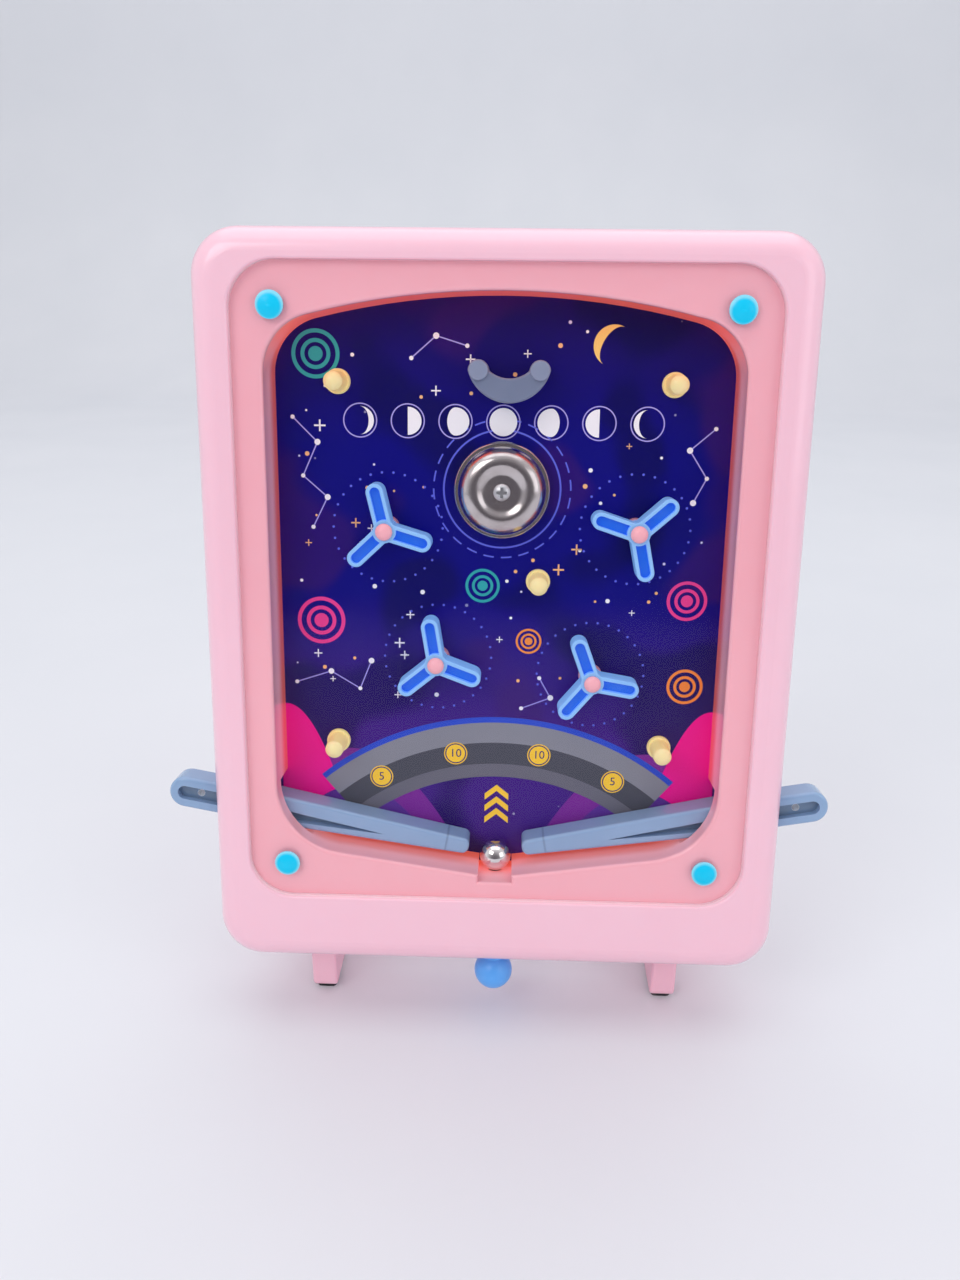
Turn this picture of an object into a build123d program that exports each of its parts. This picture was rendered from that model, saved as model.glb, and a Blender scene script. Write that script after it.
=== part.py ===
from build123d import *
import math
import os

os.makedirs("parts", exist_ok=True)

# Stance: the case leans back on two feet, millimetres and degrees
lean = 8
full_turn = 360
quarter_turn = full_turn / 4
lift = 28.5
stand_depth = 96

# Case
case_width = 192
case_height = 242.5
shell_depth = 33.5
case_wall = 2.5
case_corner = 15
front_rounding = 8
bezel_thickness = 5.5
back_plate = 2.5
back_rounding = 2
lip_wall = 1.8
lip_height = 3
lip_gap = 0.2
cut_over = 1

# Recess for the clear cover
recess_depth = 3
recess_side_margin = 12.3
recess_top_margin = 10
recess_bottom_margin = 24.9
recess_corner = 14.5
recess_rounding = 0.9
cover_sheet = 1.5
cover_gap = 0.3

# Push rivets through the clear cover
rivet_side_margin = 25.05
rivet_top_margin = 23.1
rivet_lower_height = 37
rivet_head = 8.5
rivet_head_height = 1.7
rivet_head_edge = 0.6
rivet_stem = 4
rivet_length = 8
rivet_fit = 0.1

# Window and play space
window_side_margin = 21.7
window_top_margin = 18.1
window_arch_radius = 250
window_upper_corner = 18
window_lower_corner = 24
window_rounding = 1.2
floor_height = 33.2
floor_slope = 8.3
notch_width = 11.6
notch_floor = 30.5
lane_wall = 2.5
play_depth = 18

# Playfield
print_thickness = 0.3
print_margin = 5.5
panel_thickness = 2
panel_side_margin = 8
panel_corner = 4
stem_diameter = 4
stem_fit = 0.1
stem_stand_out = 1.2

# Screws
boss_diameter = 7
case_boss_inset = 10.5
panel_boss_inset = 11.5
panel_boss_shares = [0.03, 0.35, 0.9]
screw_diameter = 2.6
screw_fit = 0.05
screw_length = 9
screw_head = 5.2
screw_head_height = 1.3
screw_recess = 1.4
screw_recess_fit = 0.4
cross_width = 0.9
cross_depth = 0.8
cross_share = 0.62

# Pegs, placed by shares of the window
peg_base = 8.1
peg_base_height = 1.4
peg_root = 6.8
peg_tip = 6
peg_height = 12.2
peg_dome = 1.6
peg_place_shares = {
    "upper_left": (-0.362, 0.859),
    "upper_right": (0.369, 0.860),
    "centre": (0.085, 0.522),
    "lower_left": (-0.375, 0.219),
    "lower_right": (0.378, 0.219),
}

# Catch cup
cup_place_shares = (0.011, 0.879)
cup_span = 19.4
cup_post = 6.6
cup_drop = 10
cup_dip = 2.4
cup_height = 11
cup_rounding = 0.8
cup_post_top = 6.2
cup_post_rise = 0.9
cup_throat = 1.6

# Bell
bell_place_shares = (0.0, 0.681)
bell_diameter = 31.6
bell_wall = 1
bell_top = 11
bell_mouth = 3.2
bell_crest = 18
bell_dish = 10.4
bell_dish_depth = 1
bell_lip = 1.3
bell_lip_height = 1.8
bell_post_diameter = 8
bell_screw_diameter = 3
bell_screw_head = 5.4
bell_screw_head_height = 2.2
bell_screw_length = 7

# Spinners, placed by shares of the window, with the angle of the first blade
spinner_reach = 15.8
spinner_blades = 3
blade_width = 5.8
blade_rim = 1.2
blade_recess = 2
hub_diameter = 7.6
spinner_thickness = 7.5
spinner_stand_off = 4
spinner_rounding = 0.5
spinner_pin_diameter = 3
spinner_fit = 0.1
spinner_end_gap = 0.4
pin_base = 8
pin_head = 5.5
pin_head_height = 2
pin_head_edge = 0.6
spinner_place_shares = {
    "upper_left": (-0.255, 0.612),
    "upper_right": (0.299, 0.615),
    "lower_left": (-0.141, 0.380),
    "lower_right": (0.211, 0.3525),
}
spinner_turn_shares = {
    "upper_left": 0.2875,
    "upper_right": 0.116667,
    "lower_left": 0.276389,
    "lower_right": 0.306944,
}

# Flippers: each is one lever with its handle outside the case
pivot_inset = 10
pivot_height = 54
flipper_rest_angle = 10.3
flipper_throw = 20
lever_depth = 10
lever_back_gap = 0.7
lever_end_gap = 0.3
lever_rounding = 1.2
flipper_tip_inset = 9.256967
flipper_root = 9
flipper_root_height = 11
flipper_tip_height = 5.6
flipper_tip_rounding = 2.4
flipper_recess_depth = 3
flipper_recess_height = 4.4
flipper_recess_rim = 1.9
flipper_recess_share = 0.62
flipper_recess_point_share = 0.1
handle_length = 28
handle_height = 11
handle_recess_depth = 2.5
handle_recess_height = 4.8
handle_recess_rim = 3
handle_recess_share = 0.2
handle_hole = 2.5
handle_hole_share = 0.62
pivot_diameter = 3
pivot_fit = 0.08
pivot_seat_fit = 0.03
pivot_boss = 8
pivot_skin = 1.2
pivot_head = 5.5
pivot_head_height = 1.2
slot_gap = 0.8
lane_slot_gap = 2

# Ball
ball_diameter = 11
ball_gap = 0.3

# Plunger
rod_diameter = 5
rod_fit = 0.06
rod_hole_gap = 0.35
tip_gap = 0.35
tip_rounding = 0.5
collar_diameter = 10
collar_height = 2
collar_gap = 0.3
knob_diameter = 13.6
knob_drop = 9.6
knob_neck = 8
knob_gap = 0.6
knob_socket = 7
bush_diameter = 8.4
bush_flange = 12
bush_flange_height = 1.5
spring_wire = 0.8
spring_diameter = 8
spring_turns = 8
spring_gap = 0.25

# Feet
hinge_side_margin = 33
hinge_stand_off = 6
hinge_low = 8
hinge_knuckle = 6
hinge_barrel = 22
hinge_gap = 0.3
hinge_radius = 5
foot_pin_diameter = 3
foot_pin_head = 5
foot_pin_head_height = 1
foot_thickness = 9
foot_toe_depth = 19
foot_case_gap = 1
foot_tail_height = 9
foot_rounding = 3
foot_edge_rounding = 1
foot_sweep_gap = 0.8
pad_thickness = 2
pad_length = 13
pad_inset = 2
pad_corner = 1.5

# Worked out from the above
sine = math.sin(math.radians(lean))
cosine = math.cos(math.radians(lean))
upward = Vector(0, sine, cosine)
outward = Vector(0, -cosine, sine)
across = Vector(1, 0, 0)
front_y = -stand_depth / 2 - front_rounding * (sine + cosine - 1)
playfield = recess_depth + play_depth
panel_front = playfield + print_thickness
panel_back = panel_front + panel_thickness
back_outer = shell_depth + back_plate
inner_width = case_width - 2 * case_wall
inner_height = case_height - 2 * case_wall
inner_corner = case_corner - case_wall
recess_width = case_width - 2 * recess_side_margin
recess_height = case_height - recess_top_margin - recess_bottom_margin
recess_middle = recess_bottom_margin + recess_height / 2
rivet_span = case_width - 2 * rivet_side_margin
rivet_upper_height = case_height - rivet_top_margin
window_width = case_width - 2 * window_side_margin
window_top = case_height - window_top_margin
panel_width = case_width - 2 * panel_side_margin
panel_low = notch_floor - lane_wall
panel_height = window_top + lane_wall - panel_low
panel_middle = panel_low + panel_height / 2
lever_back = playfield - lever_back_gap
lever_front = lever_back - lever_depth
pivot_x = case_width / 2 - pivot_inset
flipper_length = (pivot_x - flipper_tip_inset) / math.cos(math.radians(flipper_rest_angle))
ball_depth = playfield - ball_diameter / 2 - ball_gap
rod_hole = rod_diameter + 2 * rod_hole_gap
ball_height = notch_floor + math.sqrt((ball_diameter / 2) ** 2 - (rod_hole / 2) ** 2) + ball_gap
rod_top = ball_height - ball_diameter / 2 - tip_gap
collar_top = panel_low - collar_gap
spring_low = case_wall + bush_flange_height + spring_gap
spring_high = collar_top - collar_height - spring_gap
hinge_x = case_width / 2 - hinge_side_margin
hinge_depth = back_outer + hinge_stand_off
barrel_low = hinge_low + hinge_knuckle + hinge_gap
barrel_high = barrel_low + hinge_barrel
hinge_high = barrel_high + hinge_gap + hinge_knuckle
window_height = window_top - floor_height


def spot(x, height, depth):
    """World point from the place across, the height up the face and the depth behind the bezel."""
    return Vector(0, front_y, lift) + across * x + upward * height - outward * depth


def face(depth):
    """Plane square to the face, at a depth behind the bezel: x across, y up the face, z outward."""
    return Plane(origin=spot(0, 0, depth), x_dir=across, z_dir=outward)


def level(height):
    """Plane square to the upward axis of the case: x across, y into the depth, z up the face."""
    return Plane(origin=spot(0, height, 0), x_dir=across, z_dir=upward)


def section(x, height, depth):
    """Plane for profiles that turn about the outward axis: x is the radius, y is outward."""
    return Plane(origin=spot(x, height, depth), x_dir=across, z_dir=-upward)


def outward_axis(x, height):
    """Axis square to the face."""
    return Axis(spot(x, height, 0), outward)


def upward_axis(depth):
    """Axis up the middle of the face, at a depth behind the bezel."""
    return Axis(spot(0, 0, depth), upward)


def in_window(shares):
    """Place on the face from shares of the window's width and height."""
    return (shares[0] * window_width, floor_height + shares[1] * window_height)


def dome(radius, low, top):
    """Arc of a domed head, from its rim to the middle of its top."""
    rise = top - low
    curve = (radius ** 2 + rise ** 2) / (2 * rise)
    half = math.asin(radius / curve) / 2
    middle = (curve * math.sin(half), top - curve + curve * math.cos(half))
    ThreePointArc((radius, low), middle, (0, top))


def window_sketch():
    """Outline of the play window: arched top, sloping floor and a notch for the ball."""
    side = window_width / 2
    half_notch = notch_width / 2
    corner_height = floor_height + (side - half_notch) * math.tan(math.radians(floor_slope))
    spring_line = window_top - window_arch_radius + math.sqrt(window_arch_radius ** 2 - side ** 2)
    with BuildLine() as outline:
        ThreePointArc((-side, spring_line), (0, window_top), (side, spring_line))
        Polyline(
            (side, spring_line),
            (side, corner_height),
            (half_notch, floor_height),
            (half_notch, notch_floor),
            (-half_notch, notch_floor),
            (-half_notch, floor_height),
            (-side, corner_height),
            (-side, spring_line),
        )
    corners = make_face(outline.edges()).vertices().group_by(Axis.Y)
    rounded = fillet(corners[-2], window_lower_corner)
    fillet(rounded.vertices().group_by(Axis.Y)[-1], window_upper_corner)


peg_places = {name: in_window(shares) for name, shares in peg_place_shares.items()}
spinner_places = {name: in_window(shares) for name, shares in spinner_place_shares.items()}
bell_place = in_window(bell_place_shares)
cup_place = in_window(cup_place_shares)
cup_posts = [(cup_place[0] + side * cup_span / 2, cup_place[1]) for side in (-1, 1)]
pivot_places = {"left": (-pivot_x, pivot_height), "right": (pivot_x, pivot_height)}
stem_places = [*peg_places.values(), *spinner_places.values(), bell_place, *cup_posts]
rivet_places = [
    (side * rivet_span / 2, height)
    for side in (-1, 1)
    for height in (rivet_lower_height, rivet_upper_height)
]
case_boss_places = [
    (side * (case_width / 2 - case_boss_inset), height)
    for side in (-1, 1)
    for height in (case_boss_inset, case_height - case_boss_inset)
]
panel_boss_places = [
    (side * (case_width / 2 - panel_boss_inset), panel_low + share * panel_height)
    for side in (-1, 1)
    for share in panel_boss_shares
]
sides = {"left": -1, "right": 1}


# Front frame: bezel, side walls, the walls round the play space and the screw bosses
slot_reach = pivot_inset * math.sin(math.radians(flipper_throw))
slot_height = flipper_root_height + slot_reach + 2 * slot_gap
lane_slot_height = slot_height + 2 * lane_slot_gap
lane_slot_width = window_lower_corner + lane_wall + cut_over
lane_slot_x = window_width / 2 - window_lower_corner + lane_slot_width / 2
with BuildPart() as front_frame:
    with BuildSketch(face(shell_depth)):
        with Locations((0, case_height / 2)):
            RectangleRounded(case_width, case_height, case_corner)
    extrude(amount=shell_depth)
    fillet(front_frame.faces().sort_by(Axis(spot(0, 0, 0), outward))[-1].edges(), front_rounding)
    with BuildSketch(face(shell_depth)):
        with Locations((0, case_height / 2)):
            RectangleRounded(inner_width, inner_height, inner_corner)
    extrude(amount=shell_depth - bezel_thickness, mode=Mode.SUBTRACT)
    with BuildSketch(face(playfield)):
        window_sketch()
        offset(amount=lane_wall)
    extrude(amount=playfield - bezel_thickness)
    with BuildSketch(face(0)):
        with Locations((0, recess_middle)):
            RectangleRounded(recess_width, recess_height, recess_corner)
    extrude(amount=-recess_depth, mode=Mode.SUBTRACT)
    bezel_face = front_frame.faces().sort_by(Axis(spot(0, 0, 0), outward))[-1]
    fillet(bezel_face.inner_wires()[0].edges(), recess_rounding)
    with BuildSketch(face(playfield)):
        window_sketch()
    extrude(amount=playfield, mode=Mode.SUBTRACT)
    ledge_spot = spot(0, (recess_bottom_margin + notch_floor) / 2, recess_depth)
    ledge = front_frame.faces().sort_by_distance(ledge_spot)[0]
    fillet(ledge.inner_wires()[0].edges(), window_rounding)
    with BuildSketch(face(shell_depth)):
        with Locations(*case_boss_places):
            Circle(boss_diameter / 2)
    extrude(amount=shell_depth - bezel_thickness)
    with BuildSketch(face(panel_front)):
        with Locations(*panel_boss_places):
            Circle(boss_diameter / 2)
    extrude(amount=panel_front - bezel_thickness)
    with BuildSketch(face(lever_front - lever_end_gap)):
        with Locations(*pivot_places.values()):
            Circle(pivot_boss / 2)
    extrude(amount=lever_front - lever_end_gap - bezel_thickness)
    with BuildSketch(face(rivet_length + cover_sheet)):
        with Locations(*rivet_places):
            Circle(boss_diameter / 2)
    extrude(amount=rivet_length + cover_sheet - bezel_thickness)
    with BuildSketch(face(shell_depth)):
        with Locations(*case_boss_places):
            Circle(screw_diameter / 2 + screw_fit)
    extrude(amount=screw_length, mode=Mode.SUBTRACT)
    with BuildSketch(face(panel_front)):
        with Locations(*panel_boss_places):
            Circle(screw_diameter / 2 + screw_fit)
    extrude(amount=screw_length, mode=Mode.SUBTRACT)
    with BuildSketch(face(lever_front)):
        with Locations(*pivot_places.values()):
            Circle(pivot_diameter / 2 + pivot_seat_fit)
    extrude(amount=lever_front - recess_depth - pivot_skin, mode=Mode.SUBTRACT)
    with BuildSketch(face(rivet_length + cover_sheet + cut_over)):
        with Locations(*rivet_places):
            Circle(rivet_stem / 2 + rivet_fit)
    extrude(amount=rivet_length + cover_sheet + cut_over, mode=Mode.SUBTRACT)
    with BuildSketch(face(playfield)):
        with Locations(*[(side * lane_slot_x, pivot_height) for side in (-1, 1)]):
            Rectangle(lane_slot_width, lane_slot_height)
    extrude(amount=playfield - lever_front + slot_gap, mode=Mode.SUBTRACT)
    with BuildSketch(face(playfield)):
        with Locations(*[(side * case_width / 2, pivot_height) for side in (-1, 1)]):
            Rectangle(2 * (case_wall + cut_over), slot_height)
    extrude(amount=playfield - lever_front + slot_gap, mode=Mode.SUBTRACT)
    with BuildSketch(level(panel_low - cut_over)):
        with Locations((0, ball_depth)):
            Circle(rod_hole / 2)
    extrude(amount=lane_wall + 2 * cut_over, mode=Mode.SUBTRACT)
    with BuildSketch(level(-cut_over)):
        with Locations((0, ball_depth)):
            Circle(bush_diameter / 2 + rod_fit)
    extrude(amount=case_wall + 2 * cut_over, mode=Mode.SUBTRACT)
front_frame.part.label = "front_frame"
export_step(front_frame.part, "parts/front_frame.step")


# Back cover: plate with a locating lip, screw holes and the knuckles of the foot hinges
block_depth = hinge_depth - hinge_stand_off / 2
lip_inset = lip_gap + lip_wall
with BuildPart() as back_cover:
    with BuildSketch(face(back_outer)):
        with Locations((0, case_height / 2)):
            RectangleRounded(case_width, case_height, case_corner)
    extrude(amount=back_plate)
    fillet(back_cover.faces().sort_by(Axis(spot(0, 0, 0), outward))[0].edges(), back_rounding)
    with BuildSketch(face(shell_depth)):
        with Locations((0, case_height / 2)):
            RectangleRounded(
                inner_width - 2 * lip_gap,
                inner_height - 2 * lip_gap,
                inner_corner - lip_gap,
            )
            RectangleRounded(
                inner_width - 2 * lip_inset,
                inner_height - 2 * lip_inset,
                inner_corner - lip_inset,
                mode=Mode.SUBTRACT,
            )
    extrude(amount=lip_height)
    for low in (hinge_low, barrel_high + hinge_gap):
        with BuildSketch(level(low)):
            with Locations((-hinge_x, hinge_depth), (hinge_x, hinge_depth)):
                Circle(hinge_radius)
            with Locations((-hinge_x, block_depth), (hinge_x, block_depth)):
                Rectangle(2 * hinge_radius, hinge_stand_off)
        extrude(amount=hinge_knuckle)
    with BuildSketch(level(hinge_low)):
        with Locations((-hinge_x, hinge_depth), (hinge_x, hinge_depth)):
            Circle(foot_pin_diameter / 2 + pivot_seat_fit)
    extrude(amount=hinge_high - hinge_low, mode=Mode.SUBTRACT)
    with BuildSketch(face(back_outer)):
        with Locations(*case_boss_places):
            Circle(screw_head / 2 + screw_recess_fit)
    extrude(amount=screw_recess, mode=Mode.SUBTRACT)
    with BuildSketch(face(back_outer)):
        with Locations(*case_boss_places):
            Circle(screw_diameter / 2 + screw_fit)
    extrude(amount=back_plate, mode=Mode.SUBTRACT)
back_cover.part.label = "back_cover"
export_step(back_cover.part, "parts/back_cover.step")


# Clear cover: flat sheet on the ledge of the recess
with BuildPart() as clear_cover:
    with BuildSketch(face(recess_depth)):
        with Locations((0, recess_middle)):
            RectangleRounded(
                recess_width - 2 * cover_gap,
                recess_height - 2 * cover_gap,
                recess_corner - cover_gap,
            )
        with Locations(*rivet_places):
            Circle(rivet_stem / 2 + rivet_fit, mode=Mode.SUBTRACT)
    extrude(amount=cover_sheet)
clear_cover.part.label = "clear_cover"
export_step(clear_cover.part, "parts/clear_cover.step")


# Push rivets: domed heads on the clear cover, stems through the ledge
rivet_seat = recess_depth - cover_sheet
with BuildPart() as cover_rivets:
    for place in rivet_places:
        with BuildSketch(section(*place, rivet_seat)):
            with BuildLine():
                Polyline(
                    (0, rivet_head_height),
                    (0, -rivet_length),
                    (rivet_stem / 2, -rivet_length),
                    (rivet_stem / 2, 0),
                    (rivet_head / 2, 0),
                    (rivet_head / 2, rivet_head_edge),
                )
                dome(rivet_head / 2, rivet_head_edge, rivet_head_height)
            make_face()
        revolve(axis=outward_axis(*place))
cover_rivets.part.label = "cover_rivets"
export_step(cover_rivets.part, "parts/cover_rivets.step")


# Playfield: stiff panel with a printed sheet on its front
with BuildPart() as playfield_panel:
    with BuildSketch(face(panel_back)):
        with Locations((0, panel_middle)):
            RectangleRounded(panel_width, panel_height, panel_corner)
        with Locations(*stem_places):
            Circle(stem_diameter / 2 + stem_fit, mode=Mode.SUBTRACT)
        with Locations(*panel_boss_places):
            Circle(screw_diameter / 2 + screw_fit, mode=Mode.SUBTRACT)
        with Locations(*pivot_places.values()):
            Circle(pivot_diameter / 2 + pivot_seat_fit, mode=Mode.SUBTRACT)
    extrude(amount=panel_thickness)
playfield_panel.part.label = "playfield_panel"
export_step(playfield_panel.part, "parts/playfield_panel.step")

with BuildPart() as playfield_print:
    with BuildSketch(face(panel_front)):
        with Locations((0, panel_middle)):
            RectangleRounded(window_width + 2 * print_margin, panel_height, panel_corner)
        with Locations(*stem_places):
            Circle(stem_diameter / 2 + stem_fit, mode=Mode.SUBTRACT)
    extrude(amount=print_thickness)
playfield_print.part.label = "playfield_print"
export_step(playfield_print.part, "parts/playfield_print.step")


# Screws that hold the panel in the frame, and the back cover on it
def screw_group(places, seat):
    """Pan head screws with a cross slot, driven from behind with their heads on the seat."""
    with BuildSketch(face(seat)) as shanks:
        with Locations(*places):
            Circle(screw_diameter / 2)
    extrude(shanks.sketch, amount=screw_length - screw_head_height)
    with BuildSketch(face(seat + screw_head_height)) as heads:
        with Locations(*places):
            Circle(screw_head / 2)
    extrude(heads.sketch, amount=screw_head_height)
    with BuildSketch(face(seat + screw_head_height)) as slots:
        with Locations(*places):
            Rectangle(screw_head * cross_share, cross_width)
            Rectangle(cross_width, screw_head * cross_share)
    extrude(slots.sketch, amount=cross_depth, mode=Mode.SUBTRACT)


with BuildPart() as panel_screws:
    screw_group(panel_boss_places, panel_back)
panel_screws.part.label = "panel_screws"
export_step(panel_screws.part, "parts/panel_screws.step")

with BuildPart() as cover_screws:
    screw_group(case_boss_places, back_outer - screw_recess)
cover_screws.part.label = "cover_screws"
export_step(cover_screws.part, "parts/cover_screws.step")


# Pegs: flanged, tapered posts with domed tips, each with a stem through the panel
stem_length = print_thickness + panel_thickness + stem_stand_out
for name, place in peg_places.items():
    with BuildPart() as peg:
        with BuildSketch(section(*place, playfield)):
            with BuildLine():
                Polyline(
                    (0, peg_height),
                    (0, -stem_length),
                    (stem_diameter / 2, -stem_length),
                    (stem_diameter / 2, 0),
                    (peg_base / 2, 0),
                    (peg_base / 2, peg_base_height),
                    (peg_root / 2, peg_base_height),
                    (peg_tip / 2, peg_height - peg_dome),
                )
                dome(peg_tip / 2, peg_height - peg_dome, peg_height)
            make_face()
        revolve(axis=outward_axis(*place))
    peg.part.label = f"peg_{name}"
    export_step(peg.part, f"parts/peg_{name}.step")


# Catch cup: crescent between two round posts, open at the top
with BuildPart() as catch_cup:
    outer = cup_span / 2 + cup_post / 2
    inner = cup_span / 2 - cup_post / 2
    cup_plane = Plane(origin=spot(*cup_place, playfield), x_dir=across, z_dir=outward)
    with BuildSketch(cup_plane) as crescent:
        with BuildLine():
            ThreePointArc((-outer, 0), (0, -cup_drop), (outer, 0))
            ThreePointArc((outer, 0), (cup_span / 2, cup_post / 2), (inner, 0))
            ThreePointArc((inner, 0), (0, -cup_dip), (-inner, 0))
            ThreePointArc((-inner, 0), (-cup_span / 2, cup_post / 2), (-outer, 0))
        make_face()
        fillet(crescent.vertices().sort_by_distance((0, 0))[:2], cup_throat)
    extrude(amount=cup_height)
    fillet(catch_cup.faces().sort_by(Axis(spot(0, 0, 0), outward))[-1].edges(), cup_rounding)
    with BuildSketch(face(playfield - cup_height / 2)):
        with Locations(*cup_posts):
            Circle(cup_post_top / 2)
    extrude(amount=cup_height / 2 + cup_post_rise)
    post_tops = catch_cup.faces().sort_by(Axis(spot(0, 0, 0), outward))[-2:]
    fillet(post_tops.edges(), cup_rounding / 2)
    with BuildSketch(face(playfield)):
        with Locations(*cup_posts):
            Circle(stem_diameter / 2)
    extrude(amount=-stem_length)
catch_cup.part.label = "catch_cup"
export_step(catch_cup.part, "parts/catch_cup.step")


# Bell: turned gong with a rolled lip, screwed to the front of its post
bell_middle = bell_top - bell_dish_depth
bell_seat = bell_middle - bell_wall
with BuildPart() as bell_post:
    with BuildSketch(face(playfield)):
        with Locations(bell_place):
            Circle(bell_post_diameter / 2)
    extrude(amount=bell_seat)
    with BuildSketch(face(playfield)):
        with Locations(bell_place):
            Circle(stem_diameter / 2)
    extrude(amount=-stem_length)
    with BuildSketch(face(playfield - bell_seat)):
        with Locations(bell_place):
            Circle(bell_screw_diameter / 2 + screw_fit)
    extrude(amount=-bell_screw_length, mode=Mode.SUBTRACT)
bell_post.part.label = "bell_post"
export_step(bell_post.part, "parts/bell_post.step")

with BuildPart() as bell:
    rim = bell_diameter / 2
    waist = rim - bell_lip
    crest = bell_crest / 2
    dish = bell_dish / 2
    level_run = (1, 0)
    shoulder_rise = bell_top - bell_wall - bell_mouth - bell_lip_height
    shoulder_run = waist - crest
    with BuildSketch(section(*bell_place, playfield)):
        with BuildLine():
            bore = bell_screw_diameter / 2 + screw_fit
            lip_top = bell_mouth + bell_lip_height
            Polyline((bore, bell_seat), (bore, bell_middle), (dish, bell_middle))
            Spline((dish, bell_middle), (crest, bell_top), tangents=(level_run, level_run))
            EllipticalCenterArc(
                (crest, lip_top), shoulder_run, shoulder_rise + bell_wall, arc_size=quarter_turn
            )
            Line((waist, lip_top), (rim - bell_wall / 2, lip_top))
            ThreePointArc(
                (rim - bell_wall / 2, lip_top),
                (rim, bell_mouth + bell_lip_height / 2),
                (rim - bell_wall / 2, bell_mouth),
            )
            Polyline(
                (rim - bell_wall / 2, bell_mouth),
                (waist - bell_wall, bell_mouth),
                (waist - bell_wall, lip_top),
            )
            EllipticalCenterArc(
                (crest, lip_top), shoulder_run - bell_wall, shoulder_rise, arc_size=quarter_turn
            )
            Spline((crest, bell_top - bell_wall), (dish, bell_seat), tangents=(level_run, level_run))
            Line((dish, bell_seat), (bore, bell_seat))
        make_face()
    revolve(axis=outward_axis(*bell_place))
bell.part.label = "bell"
export_step(bell.part, "parts/bell.step")

with BuildPart() as bell_screw:
    with BuildSketch(section(*bell_place, playfield - bell_middle)):
        with BuildLine():
            head_edge = bell_screw_head_height / 2
            Polyline(
                (0, bell_screw_head_height),
                (0, bell_wall - bell_screw_length),
                (bell_screw_diameter / 2, bell_wall - bell_screw_length),
                (bell_screw_diameter / 2, 0),
                (bell_screw_head / 2, 0),
                (bell_screw_head / 2, head_edge),
            )
            dome(bell_screw_head / 2, head_edge, bell_screw_head_height)
        make_face()
    revolve(axis=outward_axis(*bell_place))
    with BuildSketch(face(playfield - bell_middle - bell_screw_head_height)):
        with Locations(bell_place):
            Rectangle(bell_screw_head * cross_share, cross_width)
            Rectangle(cross_width, bell_screw_head * cross_share)
    extrude(amount=-cross_depth - cross_width / 2, mode=Mode.SUBTRACT)
bell_screw.part.label = "bell_screw"
export_step(bell_screw.part, "parts/bell_screw.step")


# Spinners: three-blade wheels, each on a headed pin set in the panel
spinner_front = spinner_stand_off + spinner_thickness
recess_end = spinner_reach - blade_rim
for name, place in spinner_places.items():
    with BuildPart() as spinner_pin:
        with BuildSketch(section(*place, playfield)):
            with BuildLine():
                collar = spinner_stand_off - spinner_end_gap
                head = spinner_front + spinner_end_gap
                Polyline(
                    (0, head + pin_head_height),
                    (0, -stem_length),
                    (stem_diameter / 2, -stem_length),
                    (stem_diameter / 2, 0),
                    (pin_base / 2, 0),
                    (pin_base / 2, collar),
                    (spinner_pin_diameter / 2, collar),
                    (spinner_pin_diameter / 2, head),
                    (pin_head / 2, head),
                    (pin_head / 2, head + pin_head_edge),
                )
                dome(pin_head / 2, head + pin_head_edge, head + pin_head_height)
            make_face()
        revolve(axis=outward_axis(*place))
    spinner_pin.part.label = f"spinner_pin_{name}"
    export_step(spinner_pin.part, f"parts/spinner_pin_{name}.step")

    with BuildPart() as spinner:
        blade_run = spinner_reach - blade_width / 2
        turn = spinner_turn_shares[name] * full_turn
        with BuildSketch(face(playfield - spinner_stand_off)):
            with Locations(place):
                Circle(hub_diameter / 2)
                with PolarLocations(blade_run / 2, spinner_blades, turn):
                    SlotCenterToCenter(blade_run, blade_width)
        extrude(amount=spinner_thickness)
        fillet(spinner.faces().sort_by(Axis(spot(0, 0, 0), outward))[-1].edges(), spinner_rounding)
        with BuildSketch(face(playfield - spinner_front)):
            with Locations(place):
                with PolarLocations(recess_end / 2, spinner_blades, turn):
                    SlotOverall(recess_end, blade_width - 2 * blade_rim)
                Circle(hub_diameter / 2, mode=Mode.SUBTRACT)
        extrude(amount=-blade_recess, mode=Mode.SUBTRACT)
        with BuildSketch(face(playfield)):
            with Locations(place):
                Circle(spinner_pin_diameter / 2 + spinner_fit)
        extrude(amount=play_depth, mode=Mode.SUBTRACT)
    spinner.part.label = f"spinner_{name}"
    export_step(spinner.part, f"parts/spinner_{name}.step")


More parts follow.
